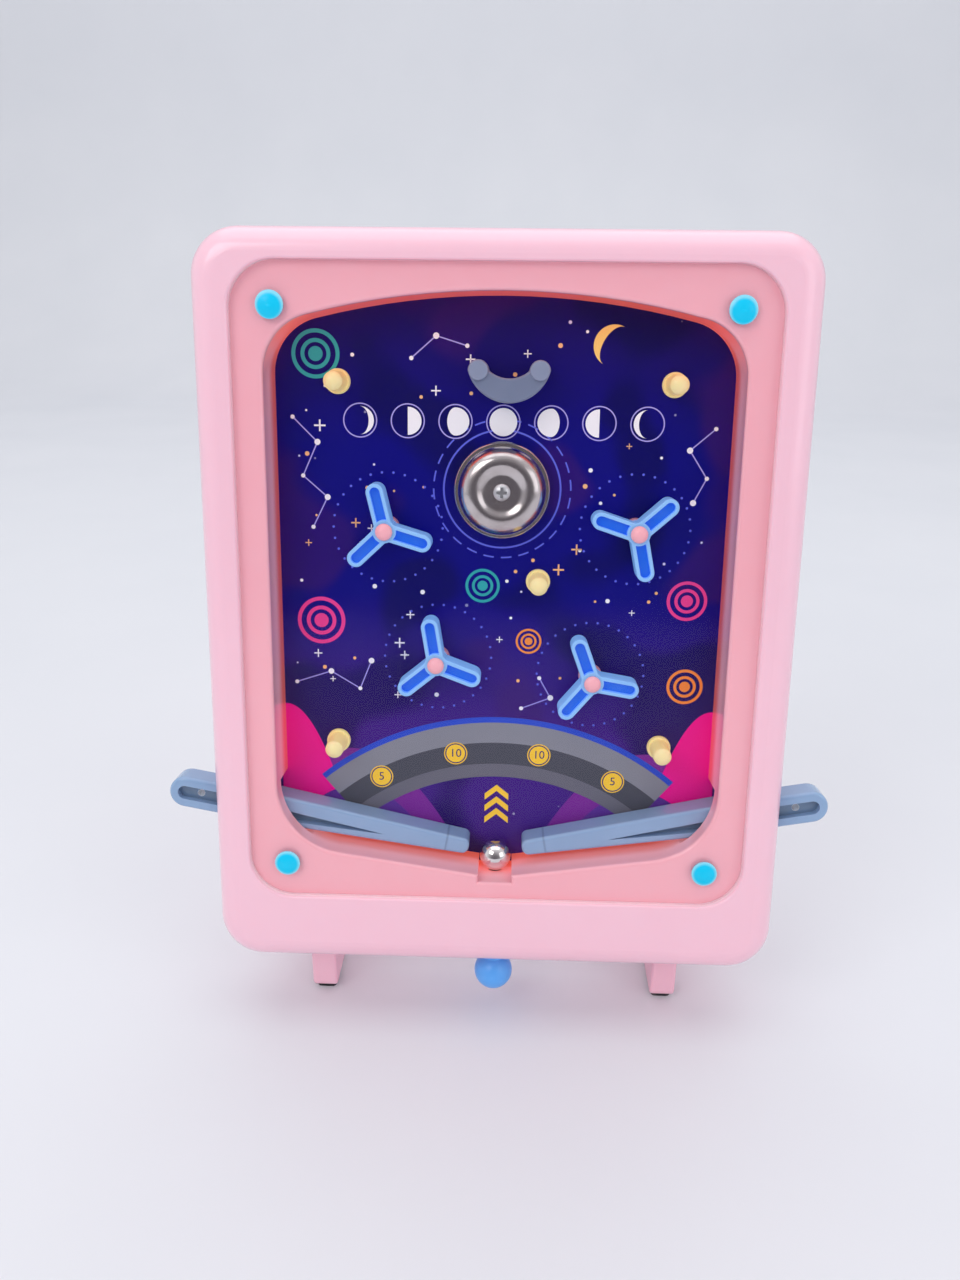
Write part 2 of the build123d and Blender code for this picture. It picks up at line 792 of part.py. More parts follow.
# Flippers: tapered levers on headed pins, with handles outside the case
for name, side in sides.items():
    place = pivot_places[name]
    with BuildPart() as flipper_pin:
        with BuildSketch(section(*place, panel_back)):
            with BuildLine():
                pin_top = panel_back - recess_depth - pivot_skin - lever_end_gap
                Polyline(
                    (0, pin_top),
                    (0, -pivot_head_height),
                    (pivot_head / 2, -pivot_head_height),
                    (pivot_head / 2, 0),
                    (pivot_diameter / 2, 0),
                    (pivot_diameter / 2, pin_top),
                    close=True,
                )
            make_face()
        revolve(axis=outward_axis(*place))
    flipper_pin.part.label = f"flipper_pin_{name}"
    export_step(flipper_pin.part, f"parts/flipper_pin_{name}.step")

    droop = math.radians(flipper_rest_angle)
    along = across * (-side * math.cos(droop)) - upward * math.sin(droop)
    lever_plane = Plane(origin=spot(*place, lever_back), x_dir=along, z_dir=outward)
    with BuildPart() as flipper:
        root_half = flipper_root_height / 2
        tip_half = flipper_tip_height / 2
        grip_half = handle_height / 2
        grip_end = grip_half - handle_length
        with BuildSketch(lever_plane) as lever:
            with BuildLine():
                ThreePointArc((grip_end, grip_half), (-handle_length, 0), (grip_end, -grip_half))
                Polyline(
                    (grip_end, -grip_half),
                    (flipper_root, -root_half),
                    (flipper_length, -tip_half),
                    (flipper_length, tip_half),
                    (flipper_root, root_half),
                    (grip_end, grip_half),
                )
            make_face()
            fillet(lever.vertices().group_by(Axis.X)[-1], flipper_tip_rounding)
        extrude(amount=lever_depth)
        fillet(flipper.faces().sort_by(Axis(spot(0, 0, 0), outward))[-1].edges(), lever_rounding)
        fillet(flipper.faces().sort_by(Axis(spot(0, 0, 0), outward))[0].edges(), lever_rounding)
        with BuildSketch(lever_plane.offset(lever_depth)):
            with BuildLine():
                low = side * (root_half - flipper_recess_rim)
                high = low - side * flipper_recess_height
                point = side * flipper_recess_point_share * flipper_root_height
                Polyline(
                    (flipper_root, low),
                    (flipper_root, high),
                    (flipper_recess_share * flipper_length, point),
                    close=True,
                )
            make_face()
        extrude(amount=-flipper_recess_depth, mode=Mode.SUBTRACT)
        with BuildSketch(lever_plane.offset(lever_depth)):
            recess_far = -handle_length + handle_recess_rim
            recess_near = -handle_length * handle_recess_share
            with Locations(((recess_far + recess_near) / 2, 0)):
                SlotOverall(recess_near - recess_far, handle_recess_height)
        extrude(amount=-handle_recess_depth, mode=Mode.SUBTRACT)
        with BuildSketch(lever_plane):
            Circle(pivot_diameter / 2 + pivot_fit)
            with Locations((-handle_length * handle_hole_share, 0)):
                Circle(handle_hole / 2)
        extrude(amount=lever_depth, mode=Mode.SUBTRACT)
    flipper.part.label = f"flipper_{name}"
    export_step(flipper.part, f"parts/flipper_{name}.step")


# Ball, resting over the plunger's hole in the notch
with BuildPart() as ball:
    with BuildSketch(face(ball_depth)):
        with BuildLine():
            low_pole = ball_height - ball_diameter / 2
            high_pole = ball_height + ball_diameter / 2
            ThreePointArc((0, low_pole), (ball_diameter / 2, ball_height), (0, high_pole))
            Line((0, high_pole), (0, low_pole))
        make_face()
    revolve(axis=upward_axis(ball_depth))
ball.part.label = "ball"
export_step(ball.part, "parts/ball.step")


# Plunger: rod with a collar for the spring, a knob under the case and a bush in the bottom wall
knob_top = -knob_gap
rod_low = knob_top - knob_socket
with BuildPart() as plunger_rod:
    with BuildSketch(level(rod_low)):
        with Locations((0, ball_depth)):
            Circle(rod_diameter / 2)
    extrude(amount=rod_top - rod_low)
    fillet(plunger_rod.faces().sort_by(Axis(spot(0, 0, 0), upward))[-1].edges(), tip_rounding)
plunger_rod.part.label = "plunger_rod"
export_step(plunger_rod.part, "parts/plunger_rod.step")

with BuildPart() as plunger_collar:
    with BuildSketch(level(collar_top - collar_height)):
        with Locations((0, ball_depth)):
            Circle(collar_diameter / 2)
            Circle(rod_diameter / 2 + pivot_seat_fit, mode=Mode.SUBTRACT)
    extrude(amount=collar_height)
plunger_collar.part.label = "plunger_collar"
export_step(plunger_collar.part, "parts/plunger_collar.step")

with BuildPart() as plunger_knob:
    with BuildSketch(face(ball_depth)):
        with BuildLine():
            knob_radius = knob_diameter / 2
            neck = knob_neck / 2
            neck_low = -knob_drop + math.sqrt(knob_radius ** 2 - neck ** 2)
            Polyline((0, -knob_drop - knob_radius), (0, knob_top), (neck, knob_top), (neck, neck_low))
            ThreePointArc((neck, neck_low), (knob_radius, -knob_drop), (0, -knob_drop - knob_radius))
        make_face()
    revolve(axis=upward_axis(ball_depth))
    with BuildSketch(level(rod_low)):
        with Locations((0, ball_depth)):
            Circle(rod_diameter / 2 + pivot_seat_fit)
    extrude(amount=knob_socket, mode=Mode.SUBTRACT)
plunger_knob.part.label = "plunger_knob"
export_step(plunger_knob.part, "parts/plunger_knob.step")

with BuildPart() as plunger_bush:
    with BuildSketch(level(0)):
        with Locations((0, ball_depth)):
            Circle(bush_diameter / 2)
    extrude(amount=case_wall)
    with BuildSketch(level(case_wall)):
        with Locations((0, ball_depth)):
            Circle(bush_flange / 2)
    extrude(amount=bush_flange_height)
    with BuildSketch(level(0)):
        with Locations((0, ball_depth)):
            Circle(rod_diameter / 2 + rod_fit)
    extrude(amount=case_wall + bush_flange_height, mode=Mode.SUBTRACT)
plunger_bush.part.label = "plunger_bush"
export_step(plunger_bush.part, "parts/plunger_bush.step")


# Plunger spring: one wire wound between the bush and the collar
spring_radius = spring_diameter / 2
coil_low = spring_low + spring_wire / 2
coil_pitch = (spring_high - spring_low - spring_wire) / spring_turns


def coil_point(turn):
    """Point on the middle of the wire after a number of turns."""
    angle = 2 * math.pi * turn
    swing = Vector(math.cos(angle), 0, 0) * spring_radius
    depth = ball_depth + spring_radius * math.sin(angle)
    return spot(0, coil_low + coil_pitch * turn, depth) + swing


def coil_heading(turn):
    """Direction of the wire after a number of turns."""
    angle = 2 * math.pi * turn
    around = across * -math.sin(angle) - outward * math.cos(angle)
    return (around * (2 * math.pi * spring_radius) + upward * coil_pitch).normalized()


def meeting_point(start, end, start_heading, end_heading):
    """Point where the two arcs of a stretch of wire meet with one heading."""
    span = end - start
    both = start_heading + end_heading
    spare = 4 - both.dot(both)
    reach = (-span.dot(both) + math.sqrt(span.dot(both) ** 2 + spare * span.dot(span))) / spare
    return (start + start_heading * reach + end - end_heading * reach) / 2


with BuildPart() as plunger_spring:
    with BuildLine() as coil:
        for quarter in range(4 * spring_turns):
            start = coil_point(quarter / 4)
            end = coil_point((quarter + 1) / 4)
            start_heading = coil_heading(quarter / 4)
            end_heading = coil_heading((quarter + 1) / 4)
            middle = meeting_point(start, end, start_heading, end_heading)
            first = TangentArc(start, middle, tangent=start_heading)
            TangentArc(middle, end, tangent=first % 1)
    with BuildSketch(Plane(origin=coil_point(0), z_dir=coil_heading(0))):
        Circle(spring_wire / 2)
    sweep()
coil_steps = 48
coil_points = [coil_point(step / coil_steps) for step in range(coil_steps * spring_turns + 1)]
coil_gap = min(
    (far - near).length - spring_wire
    for index, near in enumerate(coil_points)
    for far in coil_points[index + coil_steps // 2:]
)
print("plunger spring, least gap between turns:", round(coil_gap, 3))
plunger_spring.part.label = "plunger_spring"
export_step(plunger_spring.part, "parts/plunger_spring.step")


# Feet: plates that swing on pins in the knuckles of the back cover, with rubber pads under them
def side_point(height, depth):
    """Place in the side view, back and up, of a point on the case."""
    point = spot(0, height, depth)
    return (point.Y, point.Z)


sweep_radius = hinge_stand_off - foot_sweep_gap
plate_front = hinge_depth - math.sqrt(sweep_radius ** 2 - (foot_thickness / 2) ** 2)
knuckle_room = math.hypot(hinge_radius + foot_sweep_gap, foot_thickness / 2)
toe_top = side_point(-foot_case_gap, foot_toe_depth)
tail = stand_depth / 2
toe_pad = toe_top[0] + foot_rounding + pad_length / 2
tail_pad = tail - foot_rounding - pad_length / 2
for name, side in sides.items():
    with BuildPart() as foot:
        with BuildSketch(Plane.YZ.offset(side * hinge_x)) as profile:
            with BuildLine():
                Polyline(
                    (toe_top[0], pad_thickness),
                    (tail, pad_thickness),
                    (tail, pad_thickness + foot_tail_height),
                    side_point(barrel_high, hinge_depth + hinge_radius),
                    side_point(barrel_high, plate_front),
                    side_point(-foot_case_gap, plate_front),
                    toe_top,
                    close=True,
                )
            make_face()
            low_corners = profile.vertices().group_by(Axis.Y)[0]
            fillet(low_corners + profile.vertices().sort_by(Axis.X)[-1:], foot_rounding)
        extrude(amount=foot_thickness / 2, both=True)
        cheeks = foot.faces().sort_by(Axis.X)
        fillet(cheeks[0].edges() + cheeks[-1].edges(), foot_edge_rounding)
        with BuildSketch(level(barrel_low)):
            with Locations((side * hinge_x, hinge_depth)):
                Circle(hinge_radius)
        extrude(amount=hinge_barrel)
        with BuildSketch(level(hinge_low - hinge_gap)):
            with Locations((side * hinge_x, hinge_depth)):
                Circle(knuckle_room)
        extrude(amount=hinge_knuckle + 2 * hinge_gap, mode=Mode.SUBTRACT)
        with BuildSketch(level(barrel_low)):
            with Locations((side * hinge_x, hinge_depth)):
                Circle(foot_pin_diameter / 2 + pivot_fit)
        extrude(amount=hinge_barrel, mode=Mode.SUBTRACT)
    foot.part.label = f"foot_{name}"
    export_step(foot.part, f"parts/foot_{name}.step")

    with BuildPart() as foot_pin:
        with BuildSketch(level(hinge_low)):
            with Locations((side * hinge_x, hinge_depth)):
                Circle(foot_pin_diameter / 2)
        extrude(amount=hinge_high - hinge_low)
        with BuildSketch(level(hinge_high)):
            with Locations((side * hinge_x, hinge_depth)):
                Circle(foot_pin_head / 2)
        extrude(amount=foot_pin_head_height)
    foot_pin.part.label = f"foot_pin_{name}"
    export_step(foot_pin.part, f"parts/foot_pin_{name}.step")

    with BuildPart() as foot_pads:
        with BuildSketch(Plane.XY):
            with Locations((side * hinge_x, toe_pad), (side * hinge_x, tail_pad)):
                RectangleRounded(foot_thickness - pad_inset, pad_length, pad_corner)
        extrude(amount=pad_thickness)
    foot_pads.part.label = f"foot_pads_{name}"
    export_step(foot_pads.part, f"parts/foot_pads_{name}.step")
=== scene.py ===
"""Looks of a tabletop pinball game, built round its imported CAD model.

The CAD nodes keep their shapes and get their finishes here. The inks of the playfield, the clear
cover, the wound spring, the floor, the lamps and the camera are made in this script.
"""

import logging
import math
import random
from collections.abc import Iterable, Sequence
from dataclasses import dataclass, field
from enum import Enum
from typing import Any

import bmesh
import bpy
from mathutils import Matrix, Vector


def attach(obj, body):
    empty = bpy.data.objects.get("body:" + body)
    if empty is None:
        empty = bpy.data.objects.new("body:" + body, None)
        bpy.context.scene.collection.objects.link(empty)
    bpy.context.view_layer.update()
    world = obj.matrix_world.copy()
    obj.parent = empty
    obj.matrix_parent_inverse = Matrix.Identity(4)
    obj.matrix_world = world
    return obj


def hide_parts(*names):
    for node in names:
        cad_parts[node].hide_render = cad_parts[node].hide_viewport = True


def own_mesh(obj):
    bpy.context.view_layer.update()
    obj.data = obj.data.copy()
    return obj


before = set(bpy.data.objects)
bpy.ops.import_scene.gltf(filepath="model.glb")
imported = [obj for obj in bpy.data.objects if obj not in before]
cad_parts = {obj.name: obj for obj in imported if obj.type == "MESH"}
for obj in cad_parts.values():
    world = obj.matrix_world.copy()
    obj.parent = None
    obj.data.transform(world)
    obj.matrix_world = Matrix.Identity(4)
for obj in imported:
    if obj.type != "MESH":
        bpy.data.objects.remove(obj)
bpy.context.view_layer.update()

LOG = logging.getLogger("pinball")
MILLIMETRE = 0.001

Colour = tuple[float, float, float]
Point = tuple[float, float]

BLACK: Colour = (0.0, 0.0, 0.0)


def shade(red: float, green: float, blue: float) -> Colour:
    """Linear colour from the values that a screen shows.

    Args:
        red: Red from 0 to 255.
        green: Green from 0 to 255.
        blue: Blue from 0 to 255.

    Returns:
        The colour as three linear parts.
    """
    parts = [value / 255 for value in (red, green, blue)]
    return tuple(p / 12.92 if p <= 0.04045 else ((p + 0.055) / 1.055) ** 2.4 for p in parts)


def solid(colour: Colour) -> tuple[float, float, float, float]:
    """The colour with full cover, as a colour socket takes it."""
    return (*colour, 1.0)


@dataclass(frozen=True)
class Stance:
    """How the leaning case stands in the frame, in metres and degrees."""

    lean: float = 8.0
    lift: float = 0.0285
    front: float = -0.0490355
    playfield: float = 0.021

    @property
    def upward(self) -> Vector:
        """Direction up the face."""
        angle = math.radians(self.lean)
        return Vector((0, math.sin(angle), math.cos(angle)))

    @property
    def inward(self) -> Vector:
        """Direction from the bezel to the back."""
        angle = math.radians(self.lean)
        return Vector((0, math.cos(angle), -math.sin(angle)))

    @property
    def corner(self) -> Vector:
        """Middle of the lower front edge, before its rounding."""
        return Vector((0, self.front, self.lift))

    def spot(self, across: float, height: float, depth: float) -> Vector:
        """Point in the row frame, from its places across, up the face and behind the bezel."""
        return self.corner + Vector((across, 0, 0)) + self.upward * height + self.inward * depth


STANCE = Stance()


class Value:
    """A node's output that takes part in Python expressions."""

    def __init__(self, graph: "Graph", socket: bpy.types.NodeSocket) -> None:
        """Keeps the graph and its output."""
        self.graph = graph
        self.socket = socket

    def maths(self, operation: str, first: "Operand", second: "Operand" = 0.0) -> "Value":
        """Result of a new Math node with this operation on two values or links."""
        return self.graph.node("ShaderNodeMath", {"operation": operation}, {0: first, 1: second})

    def __add__(self, other: "Operand") -> "Value":
        """This plus the other."""
        return self.maths("ADD", self, other)

    def __radd__(self, other: "Operand") -> "Value":
        """The other plus this."""
        return self.maths("ADD", other, self)

    def __sub__(self, other: "Operand") -> "Value":
        """This less the other."""
        return self.maths("SUBTRACT", self, other)

    def __rsub__(self, other: "Operand") -> "Value":
        """The other less this."""
        return self.maths("SUBTRACT", other, self)

    def __mul__(self, other: "Operand") -> "Value":
        """This times the other."""
        return self.maths("MULTIPLY", self, other)

    def __rmul__(self, other: "Operand") -> "Value":
        """The other times this."""
        return self.maths("MULTIPLY", other, self)

    def __truediv__(self, other: "Operand") -> "Value":
        """This over the other."""
        return self.maths("DIVIDE", self, other)

    def __rtruediv__(self, other: "Operand") -> "Value":
        """The other over this."""
        return self.maths("DIVIDE", other, self)

    def __abs__(self) -> "Value":
        """Size of this without its sign."""
        return self.maths("ABSOLUTE", self)

    def sine(self) -> "Value":
        """Sine of this."""
        return self.maths("SINE", self)

    def root(self) -> "Value":
        """Square root of this."""
        return self.maths("SQRT", self)

    def larger(self, other: "Operand") -> "Value":
        """This or the other, whichever is larger."""
        return self.maths("MAXIMUM", self, other)

    def smaller(self, other: "Operand") -> "Value":
        """This or the other, whichever is smaller."""
        return self.maths("MINIMUM", self, other)

    def beyond(self, edge: float, soft: float) -> "Value":
        """Mask of where this is above an edge.

        Args:
            edge: Middle of the step.
            soft: Width of the step.

        Returns:
            0 below the step and 1 above it.
        """
        return self.graph.node(
            "ShaderNodeMapRange",
            {"interpolation_type": "SMOOTHSTEP"},
            {0: self, 1: edge - soft / 2, 2: edge + soft / 2, 3: 0.0, 4: 1.0},
        )

    def sibling(self, name: str) -> "Value":
        """Another output of the same node."""
        return Value(self.graph, self.socket.node.outputs[name])


Operand = Value | float


class Graph:
    """The node tree of one material or world."""

    edge_turn: float = 0.2
    edge_soft: float = 0.36

    def __init__(self, tree: bpy.types.NodeTree) -> None:
        """Empties a tree and keeps it."""
        self.tree = tree
        tree.nodes.clear()

    def node(
        self,
        kind: str,
        settings: dict[str, Any] | None = None,
        inputs: dict[int | str, Any] | None = None,
        output: int | str = 0,
    ) -> Value:
        """Adds any node: its settings come first, then its sockets.

        Args:
            kind: The node's type.
            settings: Its properties, with a ramp's stops under "stops".
            inputs: Values or links by socket name or number.
            output: The output to return.

        Returns:
            That output, or the node's first input where it has no output.
        """
        made = self.tree.nodes.new(kind)
        for name, setting in (settings or {}).items():
            if name == "stops":
                self.set_stops(made.color_ramp, setting)
            else:
                setattr(made, name, setting)
        for name, given in (inputs or {}).items():
            if isinstance(given, Value):
                self.tree.links.new(given.socket, made.inputs[name])
            else:
                made.inputs[name].default_value = given
        return Value(self, made.outputs[output] if len(made.outputs) else made.inputs[0])

    @staticmethod
    def set_stops(ramp: bpy.types.ColorRamp, stops: Sequence[tuple[float, Colour]]) -> None:
        """Puts the stops on a ramp.

        Args:
            ramp: The ramp.
            stops: Places from 0 to 1 with their colours.
        """
        while len(ramp.elements) < len(stops):
            ramp.elements.new(1.0)
        for element, (place, colour) in zip(ramp.elements, stops):
            element.position = place
            element.color = solid(colour)

    def mix(self, factor: Operand, first: Any, second: Any) -> Value:
        """Blend of two colours.

        Args:
            factor: Share of the second.
            first: Colour or link.
            second: Colour or link.

        Returns:
            The blended colour.
        """
        ends = [solid(end) if isinstance(end, tuple) else end for end in (first, second)]
        inputs = {0: factor, 6: ends[0], 7: ends[1]}
        return self.node("ShaderNodeMix", {"data_type": "RGBA"}, inputs, output=2)

    def place(self) -> Value:
        """Place on the piece, in metres, in the row frame at rest."""
        return self.node("ShaderNodeTexCoord", output="Object")

    def dot(self, vector: Value, other: Value | Vector) -> Value:
        """Length of a vector along another."""
        inputs = {0: vector, 1: other if isinstance(other, Value) else tuple(other)}
        return self.node("ShaderNodeVectorMath", {"operation": "DOT_PRODUCT"}, inputs, "Value")

    def on_face(self) -> tuple[Value, Value, Value]:
        """Place on the leaning case.

        Returns:
            The places across, up the face and behind the bezel, in metres.
        """
        place = self.place()
        across = self.node("ShaderNodeSeparateXYZ", None, {0: place}, "X")
        height = self.dot(place, STANCE.upward) - STANCE.corner.dot(STANCE.upward)
        depth = self.dot(place, STANCE.inward) - STANCE.corner.dot(STANCE.inward)
        return across, height, depth

    def facing(self) -> Value:
        """How far the surface faces out of the case, from -1 to 1."""
        return self.dot(self.node("ShaderNodeTexCoord", output="Normal"), -STANCE.inward)

    def noise(self, scale: float, detail: float = 2.0, vector: Value | None = None) -> Value:
        """Soft noise from 0 to 1.

        Args:
            scale: Lumps per metre.
            detail: Finer layers on the lumps.
            vector: Place to read it at, or none for the place on the piece.

        Returns:
            The noise.
        """
        inputs = {"Vector": vector or self.place(), "Scale": scale, "Detail": detail}
        return self.node("ShaderNodeTexNoise", None, inputs)

    def edges(self, radius: float) -> Value:
        """Mask of sharp edges, which the finishes lighten for wear and as a painted highlight.

        Args:
            radius: Width of the lightened band, in metres.

        Returns:
            0 on flat faces, rising at edges.
        """
        rounded = self.node("ShaderNodeBevel", {"samples": 4}, {"Radius": radius})
        plain = self.node("ShaderNodeNewGeometry", output="Normal")
        return (1.0 - self.dot(rounded, plain)).beyond(self.edge_turn, self.edge_soft)

    def bump(self, height: Value, depth: float, under: Value | None = None) -> Value:
        """Fine relief.

        Args:
            height: Relief from 0 to 1.
            depth: Its full height, in metres.
            under: A coarser relief below it.

        Returns:
            The bent normal.
        """
        inputs = {"Height": height, "Distance": depth, "Strength": 1.0}
        if under is not None:
            inputs["Normal"] = under
        return self.node("ShaderNodeBump", None, inputs)


class Finish:
    """A surface that makes its own material."""

    name: str

    def sockets(self, graph: Graph) -> dict[str, Any]:
        """Values and links of the Principled shader, by socket."""
        raise NotImplementedError

    def shader(self, graph: Graph) -> Value:
        """The shader that the material shows."""
        return graph.node("ShaderNodeBsdfPrincipled", None, self.sockets(graph))

    def material(self) -> bpy.types.Material:
        """The finish as a material, made once.

        Returns:
            The material.
        """
        made = bpy.data.materials.get(self.name)
        if made is None:
            made = bpy.data.materials.new(self.name)
            made.use_nodes = True
            graph = Graph(made.node_tree)
            graph.node("ShaderNodeOutputMaterial", None, {"Surface": self.shader(graph)})
        return made


@dataclass(frozen=True)
class MouldedPlastic(Finish):
    """Glossy injection-moulded plastic with a faint skin, flow marks, and edges lightened by wear
    and a painted highlight.
    """

    name: str
    colour: Colour
    deep: Colour
    # Lighter colour of rubbed spots and edges; on the edges it is also a painted highlight.
    rub_and_highlight: Colour
    roughness: float = 0.34
    drift_scale: float = 45.0
    drift_detail: float = 3.0
    drift_soft: float = 0.7
    drift_share: float = 0.5
    flow_scale: float = 9.0
    rub_scale: float = 160.0
    skin_scale: float = 1500.0
    skin_depth: float = 0.0000025
    relief_scale: float = 16.0
    relief_depth: float = 0.000025
    coat: float = 0.15
    coat_roughness: float = 0.12
    gloss: float = 0.5
    index: float = 1.5
    glow: float = 0.0
    glow_radius: Colour = (1.0, 0.45, 0.4)
    glow_reach: float = 0.0015
    edge: float = 0.0005
    through: Colour = BLACK
    seep: float = 0.0

    def tint(self, graph: Graph) -> Value:
        """Colour before flow marks, wear and painted edge highlights, where two tones drift into
        each other.
        """
        drift = graph.noise(self.drift_scale, self.drift_detail).beyond(0.5, self.drift_soft)
        return graph.mix(drift * self.drift_share, self.colour, self.deep)

    def lit_through(self, graph: Graph) -> dict[str, Any]:
        """Sockets for a painted glow on the sides of a thin piece, standing in for the light that
        comes through them.

        Args:
            graph: The graph to fill.

        Returns:
            The sockets, none where the piece is thick.
        """
        if self.seep == 0:
            return {}
        # Emission on the sides paints the glow of light through the plastic.
        sides = 1.0 - graph.facing().beyond(0.5, 0.7)
        shown = graph.mix(sides, BLACK, self.through)
        return {"Emission Color": shown, "Emission Strength": self.seep}

    def sockets(self, graph: Graph) -> dict[str, Any]:
        """Values and links of the Principled shader.

        Args:
            graph: The graph to fill.

        Returns:
            They, by socket.
        """
        flow = graph.noise(self.flow_scale, 3.0)
        skin = graph.noise(self.skin_scale, 2.0)
        rub = graph.noise(self.rub_scale, 3.0).beyond(0.5, 0.6)
        # Rubbed spots are wear; sharp edges are lightened for wear and as a painted highlight.
        rub_and_highlight_mask = 0.04 * rub
        if self.edge > 0:
            rub_and_highlight_mask = rub_and_highlight_mask + graph.edges(self.edge) * (0.12 + 0.06 * rub)
        toned = graph.mix(flow.beyond(0.55, 0.5) * 0.18, self.tint(graph), self.deep)
        relief = graph.bump(graph.noise(self.relief_scale, 1.0), self.relief_depth)
        return {
            "Base Color": graph.mix(rub_and_highlight_mask, toned, self.rub_and_highlight),
            "Roughness": self.roughness + 0.08 * (flow - 0.5) + 0.03 * (rub - 0.5) + 0.1 * rub_and_highlight_mask,
            "Normal": graph.bump(skin, self.skin_depth, relief),
            "Coat Weight": self.coat,
            "Coat Roughness": self.coat_roughness,
            "IOR": self.index,
            "Specular IOR Level": self.gloss,
            "Subsurface Weight": self.glow,
            "Subsurface Radius": self.glow_radius,
            "Subsurface Scale": self.glow_reach,
            **self.lit_through(graph),
        }


@dataclass(frozen=True)
class CasePlastic(MouldedPlastic):
    """Pink plastic, salmon on the cover's ledge (the cover's tint and painted shade), a painted
    highlight on the bezel's inner wall and a painted coral glow on the walls of the play space.

    Depths are metres behind the bezel. An area is half its width, its lower and its upper edge.
    """

    drift_scale: float = 30.0
    drift_soft: float = 0.8
    drift_share: float = 0.35
    seep: float = 0.7
    seep_low: float = 0.22
    seep_depth: float = 0.008
    # Salmon of the ledge, partly the clear cover's tint and partly painted shade under the cover.
    ledge: Colour = shade(255, 178, 190)
    # Very pale pink of the bezel's inner wall, a painted highlight.
    brink_highlight: Colour = shade(255, 232, 240)
    wall: Colour = shade(255, 184, 194)
    # Coral of the painted glow deep in the play space and at its lit ends.
    pit_glow: Colour = shade(255, 104, 78)
    soft: float = 0.0006
    ledge_depths: Point = (0.0021, 0.0045)
    brink_depths: Point = (0.0008, 0.0032)
    wall_depth: float = 0.0034
    pit_depth: float = 0.0145
    pit_soft: float = 0.008
    upper_wall: float = 0.206
    upper_depth: float = 0.005
    lower_wall: float = 0.05
    lower_depth: float = 0.0115
    lower_share: float = 0.6
    play_space: tuple[float, float, float] = (0.080, 0.0270, 0.2295)
    recess: tuple[float, float, float] = (0.0842, 0.0244, 0.2325)

    def within(self, graph: Graph, area: tuple[float, float, float]) -> Value:
        """Mask of an area on the face.

        Args:
            graph: The graph to fill.
            area: Half its width, its lower and its upper edge.

        Returns:
            1 inside and 0 outside.
        """
        across, height, _ = graph.on_face()
        half_width, low, high = area
        inside = (half_width - abs(across)).beyond(0.0, self.soft) * height.beyond(low, self.soft)
        return inside * (high - height).beyond(0.0, self.soft)

    def between(self, depth: Value, limits: Point) -> Value:
        """Mask of the depths between two limits."""
        return depth.beyond(limits[0], self.soft) * (limits[1] - depth).beyond(0.0, self.soft)

    def tint(self, graph: Graph) -> Value:
        """Colour before flow marks and wear.

        Args:
            graph: The graph to fill.

        Returns:
            The colour.
        """
        depth = graph.on_face()[2]
        recess = self.within(graph, self.recess)
        # The ledge under the cover turns salmon: the cover's tint and painted shade.
        salmon = self.between(depth, self.ledge_depths) * recess
        toned = graph.mix(salmon, super().tint(graph), self.ledge)
        # A painted highlight lightens the upright inner wall of the bezel's recess.
        upright = 1.0 - abs(graph.facing()).beyond(0.5, 0.5)
        brink_highlight = upright * self.between(depth, self.brink_depths)
        toned = graph.mix(brink_highlight * recess, toned, self.brink_highlight)
        # The walls of the play space take a painted glow of the light through the plastic.
        shown = depth.beyond(self.wall_depth, self.soft) * self.walls(graph)
        return graph.mix(shown, toned, self.wall_glow(graph))

    def walls(self, graph: Graph) -> Value:
        """Mask of the play space, down to the playfield."""
        above = (STANCE.playfield - graph.on_face()[2]).beyond(-0.0005, 0.0004)
        return self.within(graph, self.play_space) * above

    def lit_ends(self, graph: Graph) -> Value:
        """Mask of the upper and lower walls, which more light comes through, painted there as a
        stronger glow.

        Args:
            graph: The graph to fill.

        Returns:
            1 on the upper wall and a share of it on the lower one.
        """
        _, height, depth = graph.on_face()
        upper = height.beyond(self.upper_wall, 0.02) * depth.beyond(self.upper_depth, 0.002)
        low = (self.lower_wall - height).beyond(0.0, 0.012)
        return upper + self.lower_share * (low * depth.beyond(self.lower_depth, 0.006))

    def wall_glow(self, graph: Graph) -> Value:
        """Colour of the walls, with a painted coral glow at the ends and close to the playfield.
        """
        deep = graph.on_face()[2].beyond(self.pit_depth, self.pit_soft)
        return graph.mix(deep.larger(self.lit_ends(graph)), self.wall, self.pit_glow)

    def lit_through(self, graph: Graph) -> dict[str, Any]:
        """Sockets for the painted glow that stands in for the light seeping through the walls of
        the play space.

        Args:
            graph: The graph to fill.

        Returns:
            The sockets.
        """
        low = self.seep_low * graph.on_face()[2].beyond(self.seep_depth, 0.008)
        shown = self.walls(graph) * low.larger(self.lit_ends(graph))
        tone = graph.mix(shown, BLACK, self.wall_glow(graph))
        return {"Emission Color": tone, "Emission Strength": self.seep}


@dataclass(frozen=True)
class RecessShadedPlastic(MouldedPlastic):
    """Moulded plastic with painted shade on its recessed floors, which are darker than the rims
    round them.
    """

    drift_scale: float = 60.0
    drift_detail: float = 2.0
    # Darker colour of the recessed floors, a painted shade.
    floor: Colour = BLACK
    floor_depth: float = 0.0105
    floor_soft: float = 0.0004

    def tint(self, graph: Graph) -> Value:
        """Colour before flow marks, wear and painted edge highlights.

        Args:
            graph: The graph to fill.

        Returns:
            The colour.
        """
        depth = graph.on_face()[2]
        # Outward faces deep in the piece take the painted shade of the recess.
        floor = depth.beyond(self.floor_depth, self.floor_soft) * graph.facing().beyond(0.6, 0.4)
        return graph.mix(floor, super().tint(graph), self.floor)


